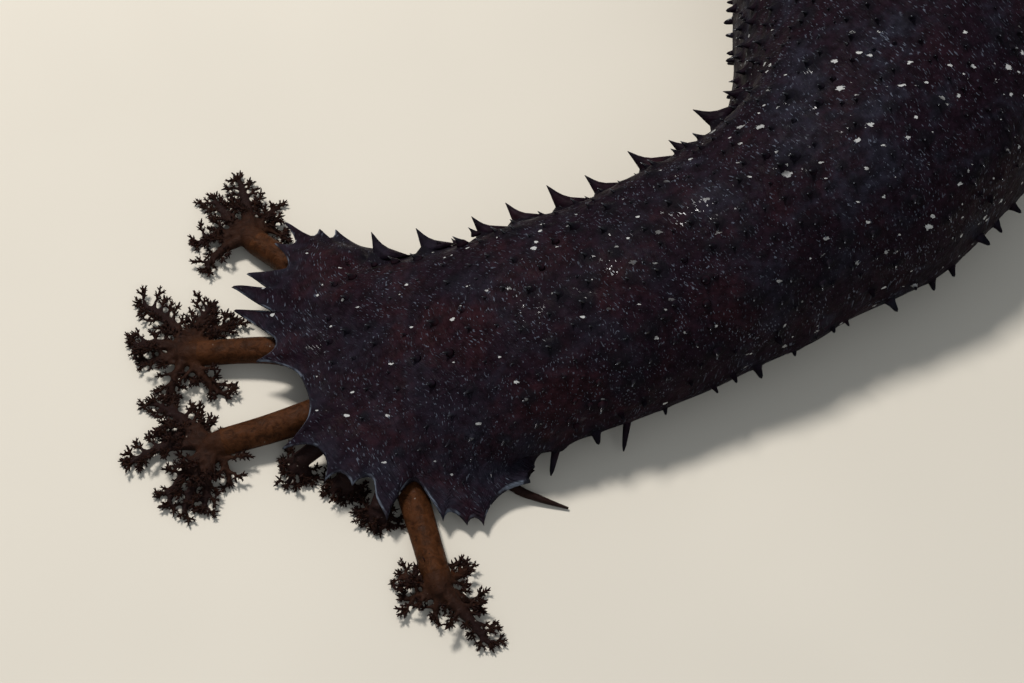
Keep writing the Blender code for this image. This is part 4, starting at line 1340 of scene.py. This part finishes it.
def skin_markings():
    """The markings that skin, papillae and feet share, from their place on the animal. Their pale
    flecks are partly sand grains and partly painted glints.
    """
    tree, given, out = group(
        "skin markings",
        (("Ground", "Color", (0.015, 0.009, 0.013, 1)),
         ("Maroon", "Color", (0.04, 0.012, 0.014, 1)),
         ("Slate", "Color", (0.03, 0.033, 0.042, 1)),
         ("Fleck", "Color", (0.45, 0.45, 0.44, 1))),
        (("Color", "Color"), ("Roughness", "Float"), ("Height", "Float")))
    w = Wires(tree)
    place = w.place()
    fore = w.span(w.away(place, HOOD_MIDDLE, 0.008), 0.022, 0.10, 1.0, 0.0)
    patches = w.span(w.noise(place, 85.0, 4.0, 0.6, 0.5), 0.44, 0.68)
    maroon = w.math("MULTIPLY", patches, w.math("MULTIPLY_ADD", fore, 0.7, 0.3))
    slate = w.math("MULTIPLY", w.span(w.noise(place, 95.0, 5.0, 0.65, 0.4), 0.46, 0.66),
                   w.math("MULTIPLY_ADD", fore, -0.45, 0.95))
    fine = w.span(w.noise(place, 620.0, 3.0, 0.6), 0.3, 0.72, 0.62, 1.45)
    colour = w.mix(maroon, given["Ground"], given["Maroon"])
    colour = w.mix(slate, colour, given["Slate"])
    colour = w.vector("SCALE", colour, fine, "Scale")[0]
    # Pale flecks: partly sand grains on the skin, partly painted glints of its wet surface.
    slanted = w.mapped(place, (260.0, 480.0, 420.0), (0.0, 0.0, math.radians(15)))
    small = flecks(w, slanted, 1.0, 0.12, 0.5)
    rear = w.math("SUBTRACT", 1.0, fore)
    slanted = w.mapped(place, (230.0, 360.0, 320.0), (0.0, 0.0, math.radians(24)))
    large = w.math("MULTIPLY", flecks(w, slanted, 1.0, 0.15, 0.5), rear)
    spots = w.math("MAXIMUM", small, large)
    w.put(out["Color"], w.mix(w.math("MULTIPLY", spots, 0.9), colour, given["Fleck"]))
    rough = w.span(w.noise(place, 420.0, 3.0), 0.3, 0.7, 0.42, 0.66)
    w.put(out["Roughness"], rough)
    grain, _ = w.cells(place, 1150.0, "SMOOTH_F1")
    creases = w.noise(w.mapped(place, (420.0, 800.0, 700.0), (0.0, 0.0, 0.3)), 1.0, 4.0, 0.6, 0.5)
    height = w.math("ADD", w.math("MULTIPLY", grain, -0.28), w.math("MULTIPLY", creases, 0.6))
    w.put(out["Height"], w.math("ADD", height, w.math("MULTIPLY", spots, 0.3)))
    return tree


def skin_wrinkles():
    """Fine wrinkles round the body, and the pale dashes on their crests, painted as highlights of
    the wet skin.
    """
    tree, given, out = group(
        "skin wrinkles", (("Dash Length", "Float", DASH_STRETCH),),
        (("Dashes", "Float"), ("Height", "Float"), ("Wrinkles", "Float")))
    w = Wires(tree)
    flow = w.named("flow", "Vector")
    lengths = given["Dash Length"]
    stretch = w.node("ShaderNodeCombineXYZ", {0: 3300.0, 1: lengths, 2: lengths})[0]
    scaled = w.vector("MULTIPLY", flow, stretch)[0]
    # The pale dashes are painted highlights on the crests of the wrinkles.
    dashes = w.span(w.noise(scaled, 1.0, 1.0, 0.5, 0.3), 0.62, 0.7)
    patchy = w.span(w.noise(flow, 190.0, 3.0, 0.6), 0.42, 0.62, 0.2, 0.9)
    w.put(out["Dashes"], w.math("MULTIPLY", dashes, patchy))
    folds = w.noise(w.mapped(flow, (1000.0, 330.0, 330.0)), 1.0, 3.0, 0.6, 0.6)
    w.put(out["Height"], w.math("ADD", folds, w.math("MULTIPLY", dashes, 0.25)))
    w.put(out["Wrinkles"], w.noise(w.mapped(flow, (1150.0, 150.0, 150.0)), 1.0, 2.0, 0.5, 1.2))
    return tree


def material(name):
    made = bpy.data.materials.new(name)
    made.use_nodes = True
    made.node_tree.nodes.clear()
    shader = made.node_tree.nodes.new("ShaderNodeBsdfPrincipled")
    end = made.node_tree.nodes.new("ShaderNodeOutputMaterial")
    made.node_tree.links.new(shader.outputs[0], end.inputs[0])
    return made, shader.inputs, Wires(made.node_tree)


def skin_finish(settings):
    found = bpy.data.materials.get("moist skin")
    if found:
        return found
    made, skin, w = material("moist skin")
    colours = {"Ground": settings.ground, "Maroon": settings.maroon, "Slate": settings.slate,
               "Fleck": settings.fleck_and_glint}
    marks = w.node("ShaderNodeGroup", {key: opaque(value) for key, value in colours.items()},
                   node_tree=bpy.data.node_groups.get("skin markings") or skin_markings())
    lines = w.node("ShaderNodeGroup",
                   node_tree=bpy.data.node_groups.get("skin wrinkles") or skin_wrinkles())
    tip, rim_share, mound, inner = (w.named(name) for name in ("tip", "rim", "mound", "inner"))
    place = w.place()
    near_corner = w.span(w.away(place, NEAR_CORNER, 0.004), 0.007, 0.024, 1.0, 0.0)
    # Pale bluish dashes of painted highlight on the wrinkles' crests.
    colour = w.mix(w.math("MULTIPLY", lines["Dashes"], 0.85), marks["Color"], GLINT_DASH_COLOUR)
    ring = w.math("MULTIPLY", w.span(mound, 0.12, 0.6), 0.72)
    colour = w.mix(ring, colour, MOUND_COLOUR)
    tipped = w.math("MULTIPLY", w.span(tip, 0.2, 0.6), 0.8)
    colour = w.mix(tipped, colour, TIP_COLOUR)
    colour = w.mix(w.math("MULTIPLY", w.span(tip, 0.86, 0.98), 0.6), colour, TIP_GLINT)
    # A bluish band of painted sheen along the rim and over the near corner, in patches.
    patchy_sheen = w.span(w.noise(place, 260.0, 4.0, 0.6), 0.36, 0.68, 0.1, 0.6)
    rim = w.math("MULTIPLY", w.math("MAXIMUM", w.span(rim_share, 0.5, 1.0, 0.0, 0.55),
                                    w.math("MULTIPLY", near_corner, 0.7)), patchy_sheen)
    colour = w.mix(rim, colour, RIM_SHEEN_COLOUR)
    # A thin pale line of painted highlight along the rim's edge, broken by noise.
    line = w.math("MULTIPLY", w.span(rim_share, 0.95, 0.985),
                  w.span(w.noise(place, 300.0, 2.0), 0.46, 0.62, 0.05, 0.8))
    colour = w.mix(line, colour, RIM_HIGHLIGHT_COLOUR)
    colour = w.mix(inner, colour, INNER_COLOUR)
    w.put(skin["Base Color"], colour)
    w.put(skin["Roughness"], marks["Roughness"])
    wavering = w.math("ADD", w.math("MULTIPLY", rim_share, 12.0),
                      w.math("MULTIPLY", w.noise(place, 150.0, 3.0), 7.0))
    folds = w.math("SINE", w.math("MULTIPLY", wavering, 6.283))
    folds = w.math("MULTIPLY", w.math("MULTIPLY", folds, w.span(rim_share, 0.3, 0.8)),
                   w.math("MULTIPLY_ADD", near_corner, 0.06, 0.012))
    height = w.math("ADD", marks["Height"], w.math("MULTIPLY", lines["Height"], 0.8))
    creased = w.math("MULTIPLY", w.math("MULTIPLY", lines["Wrinkles"], near_corner), 2.2)
    height = w.math("ADD", height, w.math("ADD", folds, creased))
    w.put(skin["Normal"], w.bump(height, 0.85, 0.0004))
    wet = w.math("MAXIMUM", w.math("MULTIPLY", w.span(tip, 0.55, 0.85), 0.8),
                 w.math("MULTIPLY", lines["Dashes"], 0.22))
    w.put(skin["Coat Weight"], wet)
    skin["Coat Roughness"].default_value = 0.14
    skin["Specular IOR Level"].default_value = 0.02
    return made


def flesh_finish(name, pale, dark, end_colour, roughness, root_colour=None):
    """Stalk and crown flesh, darker towards the outermost twigs."""
    found = bpy.data.materials.get(name)
    if found:
        return found
    made, flesh, w = material(name)
    place = w.place()
    mottled = w.span(w.noise(place, 620.0, 5.0, 0.7, 0.6), 0.34, 0.62)
    colour = w.mix(mottled, dark, pale)
    reach = w.named("reach")
    tip = w.named("tip")
    if root_colour:
        fades = w.span(w.math("ADD", reach, w.math("MULTIPLY", w.noise(place, 300.0, 2.0), 0.2)),
                       0.16, 0.42)
        colour = w.mix(fades, root_colour, colour)
    out = w.math("MAXIMUM", w.span(reach, 0.3, 0.9), tip)
    colour = w.mix(out, colour, end_colour)
    speck = flecks(w, place, 900.0, 0.12, 0.12)
    colour = w.mix(w.math("MULTIPLY", speck, 0.35), colour, SPECK_COLOUR)
    w.put(flesh["Base Color"], colour)
    w.put(flesh["Roughness"], w.span(w.noise(place, 800.0, 2.0), 0.3, 0.7,
                                     roughness - 0.08, roughness + 0.1))
    folds = w.noise(place, 620.0, 5.0, 0.65, 0.5)
    w.put(flesh["Normal"], w.bump(folds, 0.8, 0.0006))
    flesh["Subsurface Weight"].default_value = 0.05
    flesh["Subsurface Radius"].default_value = (1.0, 0.4, 0.2)
    flesh["Subsurface Scale"].default_value = 0.0015
    flesh["Specular IOR Level"].default_value = 0.035
    return made


def finishes(scene):
    colours = scene.sea_cucumber_colours
    stalk, crown, tips = colours.stalk, colours.crown, opaque(colours.twig_tips)
    return {
        "skin": skin_finish(colours),
        "stalk": flesh_finish("stalk flesh", opaque(stalk), opaque(stalk, 0.42), tips, 0.42),
        "crown": flesh_finish("branch flesh", opaque(crown), opaque(crown, 0.55), tips, 0.45,
                              opaque(stalk, 0.8)),
        "twigs": flesh_finish("twig flesh", opaque(crown, 0.8), opaque(crown, 0.4), tips, 0.45),
        "mouth": flesh_finish("mouth flesh", (0.022, 0.012, 0.013, 1), (0.012, 0.007, 0.008, 1),
                              (0.01, 0.006, 0.007, 1), 0.45),
    }


def floor_finish(colour):
    made, floor, w = material("floor")
    tone = w.span(w.noise(w.place(), 9.0, 3.0), 0.3, 0.7, 0.97, 1.03)
    w.put(floor["Base Color"], w.vector("SCALE", colour, tone, "Scale")[0])
    floor["Roughness"].default_value = 0.85
    floor["Specular IOR Level"].default_value = 0.2
    return made


def length_property(name, description, millimetres, least=0.0):
    return bpy.props.FloatProperty(
        name=name, description=description, default=millimetres * MM, min=least * MM,
        unit="LENGTH")


def seed_property(what, default):
    return bpy.props.IntProperty(
        name="Seed", description=f"Start of the random draw of the {what}", default=default)


def colour_property(name, description, default):
    return bpy.props.FloatVectorProperty(
        name=name, description=description, default=default, size=3, min=0.0, max=1.0,
        subtype="COLOR")


class SkinSettings(bpy.types.PropertyGroup):
    ring_spacing: length_property(
        "Ring spacing", "Distance between the skin's rings along the body", 1.3, 0.5)
    swell: length_property("Swell", "Height of the soft swells of the skin", 0.45)
    swell_length: length_property(
        "Swell length", "Distance from one swell to the next", 17.0, 1.0)
    seed: seed_property("skin's swells", 3)


class PapillaSettings(bpy.types.PropertyGroup):
    spacing: length_property("Spacing", "Distance between the papillae of the back", 4.5, 2.0)
    width: length_property("Width", "Width of a papilla of the back at its root", 1.9, 0.2)
    height: length_property("Height", "Height of a papilla of the back", 1.9, 0.2)
    foot_spacing: length_property(
        "Tube foot spacing", "Distance between tube feet under the sole", 4.4, 2.0)
    foot_width: length_property("Tube foot width", "Width of a tube foot", 1.5, 0.4)
    seed: seed_property("papillae and feet", 8)


class TentacleSettings(bpy.types.PropertyGroup):
    branch_width: length_property(
        "Branch width", "Width of a crown's main branches at their roots", 2.3, 0.5)
    twig_length: length_property(
        "Twig length", "Length of the finest twigs of a crown", 1.7, 0.3)
    seed: seed_property("crowns", 21)


class ColourSettings(bpy.types.PropertyGroup):
    ground: colour_property("Ground", "Ground colour of the skin", (0.0070, 0.0035, 0.0062))
    maroon: colour_property(
        "Maroon", "Colour of the skin's reddish patches", (0.0138, 0.0046, 0.0064))
    slate: colour_property(
        "Slate", "Colour of the skin's bluish mottling", (0.0102, 0.0098, 0.0155))
    # The skin's pale flecks are partly sand grains and partly painted glints.
    fleck_and_glint: colour_property("Fleck", "Colour of the skin's pale flecks", (0.42, 0.42, 0.41))
    stalk: colour_property("Stalk", "Colour of the tentacles' stalks", (0.052, 0.0185, 0.0070))
    crown: colour_property("Crown", "Colour of the crowns' branches", (0.025, 0.0105, 0.0064))
    twig_tips: colour_property(
        "Twig tips", "Colour of the outermost twigs", (0.0125, 0.006, 0.0055))
    floor: colour_property("Floor", "Colour of the floor", (0.56, 0.52, 0.45))


class SEACUCUMBER_OT_skin(bpy.types.Operator):
    """Make the skin in one piece, from the rim of the hood to the vent"""

    bl_idname = "sea_cucumber.skin"
    bl_label = "Skin"

    def execute(self, context):
        scene = context.scene
        columns = hood_columns()
        places = papilla_places(scene.sea_cucumber_papillae, columns)
        piece = make_skin(scene.sea_cucumber_skin, columns, places, finishes(scene)["skin"])
        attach(piece, "root")
        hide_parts("hood", "neck", "trunk_front", "trunk_middle", "trunk_rear", "tail")
        return {"FINISHED"}


class SEACUCUMBER_OT_papillae(bpy.types.Operator):
    """Set the pointed papillae over the skin"""

    bl_idname = "sea_cucumber.papillae"
    bl_label = "Papillae"

    def execute(self, context):
        scene = context.scene
        settings = scene.sea_cucumber_papillae
        kinds = papilla_places(settings, hood_columns())
        for (name, levels), places in zip(PAPILLA_SHAPES.items(), kinds):
            shape = small_shape(name + "_shape", levels, 8, 1.0 if name == "papillae" else 0.62)
            piece = scatter(name, places, shape, finishes(scene)["skin"], settings.seed)
            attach(piece, "root")
        return {"FINISHED"}


class SEACUCUMBER_OT_feet(bpy.types.Operator):
    """Set the tube feet under the sole"""

    bl_idname = "sea_cucumber.feet"
    bl_label = "Tube feet"

    def execute(self, context):
        scene = context.scene
        kinds = finishes(scene)
        for piece in make_feet(scene.sea_cucumber_papillae, kinds["skin"], kinds["twigs"]):
            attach(piece, "root")
        return {"FINISHED"}


class SEACUCUMBER_OT_mouth(bpy.types.Operator):
    """Make the mouth and the tentacles that are drawn in round it"""

    bl_idname = "sea_cucumber.mouth"
    bl_label = "Mouth"

    def execute(self, context):
        scene = context.scene
        kinds = finishes(scene)
        made = make_mouth(scene.sea_cucumber_tentacles, kinds["mouth"], kinds["twigs"])
        for piece, slot in zip(made, ("mouth", "crown", "crown")):
            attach(piece, "root")
        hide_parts("mouth")
        return {"FINISHED"}


class SEACUCUMBER_OT_tentacles(bpy.types.Operator):
    """Make the tentacles that reach out, with their stalks and bushy crowns"""

    bl_idname = "sea_cucumber.tentacles"
    bl_label = "Tentacles"

    def execute(self, context):
        scene = context.scene
        kinds = finishes(scene)
        settings = scene.sea_cucumber_tentacles
        for number, (name, spec) in enumerate(TENTACLES.items()):
            stalk = make_stalk(name, spec, kinds["stalk"])
            crown, twigs = make_crown(name, spec, settings, kinds["crown"], kinds["twigs"],
                                      settings.seed + number)
            for piece, slot in ((stalk, "stalk"), (crown, "crown"), (twigs, "crown")):
                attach(piece, "root")
            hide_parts(f"tentacle_{name}_stalk")
            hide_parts(f"tentacle_{name}_crown")
        return {"FINISHED"}


class SEACUCUMBER_OT_stage(bpy.types.Operator):
    """Set the pale floor, the soft light and the camera"""

    bl_idname = "sea_cucumber.stage"
    bl_label = "Stage"

    def execute(self, context):
        scene = context.scene
        reach = 1.5
        mesh = bpy.data.meshes.new("floor")
        mesh.from_pydata([(-reach, -reach, 0), (reach, -reach, 0), (reach, reach, 0),
                          (-reach, reach, 0)], [], [(0, 1, 2, 3)])
        mesh.materials.append(floor_finish(tuple(scene.sea_cucumber_colours.floor)))
        floor = link(bpy.data.objects.new("floor", mesh))
        world = bpy.data.worlds.new("soft room")
        world.use_nodes = True
        sky = world.node_tree.nodes["Background"]
        sky.inputs["Color"].default_value = (0.86, 0.93, 1.0, 1)
        sky.inputs["Strength"].default_value = 0.34
        scene.world = world
        lamps = (("key", (-0.24, 0.17, 0.70), 0.13, 6.2, (1.0, 0.97, 0.93)),
                 ("fill", (0.15, -0.6, 0.55), 0.5, 1.1, (0.9, 0.95, 1.0)))
        for name, place, size, power, colour in lamps:
            lamp = bpy.data.lights.new(name, "AREA")
            lamp.size = size
            lamp.energy = power
            lamp.color = colour
            holder = link(bpy.data.objects.new(name, lamp))
            holder.location = place
            aim = Vector((0.0, -0.03, 0.0)) - Vector(place)
            holder.rotation_euler = aim.to_track_quat("-Z", "Y").to_euler()
        camera = bpy.data.cameras.new("camera")
        camera.lens = 85.0
        camera.sensor_width = 36.0
        camera.clip_start = 0.01
        stand = link(bpy.data.objects.new("camera", camera))
        stand.location = (-0.001 * ORIGIN[0], -0.23575 - 0.001 * ORIGIN[1], 0.34669)
        stand.rotation_euler = (math.radians(35.0), 0.0, 0.0)
        scene.camera = stand
        scene.view_settings.view_transform = "Standard"
        return {"FINISHED"}


class SEACUCUMBER_PT_panel(bpy.types.Panel):
    """Lists the pieces of the sea cucumber"""

    bl_idname = "SEACUCUMBER_PT_panel"
    bl_label = "Sea cucumber"
    bl_space_type = "VIEW_3D"
    bl_region_type = "UI"
    bl_category = "Sea cucumber"

    def draw(self, context):
        for operator in OPERATORS:
            self.layout.operator(operator.bl_idname)
        for name in SETTINGS:
            settings = getattr(context.scene, name)
            box = self.layout.box()
            for key in settings.__annotations__:
                box.prop(settings, key)


SETTINGS = {
    "sea_cucumber_skin": SkinSettings,
    "sea_cucumber_papillae": PapillaSettings,
    "sea_cucumber_tentacles": TentacleSettings,
    "sea_cucumber_colours": ColourSettings,
}
OPERATORS = (
    SEACUCUMBER_OT_stage,
    SEACUCUMBER_OT_skin,
    SEACUCUMBER_OT_papillae,
    SEACUCUMBER_OT_feet,
    SEACUCUMBER_OT_mouth,
    SEACUCUMBER_OT_tentacles,
)


def register():
    for kind in (*SETTINGS.values(), *OPERATORS, SEACUCUMBER_PT_panel):
        bpy.utils.register_class(kind)
    for name, kind in SETTINGS.items():
        setattr(bpy.types.Scene, name, bpy.props.PointerProperty(type=kind))


def unregister():
    for name in SETTINGS:
        delattr(bpy.types.Scene, name)
    for kind in reversed((*SETTINGS.values(), *OPERATORS, SEACUCUMBER_PT_panel)):
        bpy.utils.unregister_class(kind)


def main():
    register()
    for operator in OPERATORS:
        group_name, call = operator.bl_idname.split(".")
        getattr(getattr(bpy.ops, group_name), call)()


if __name__ == "__main__":
    main()
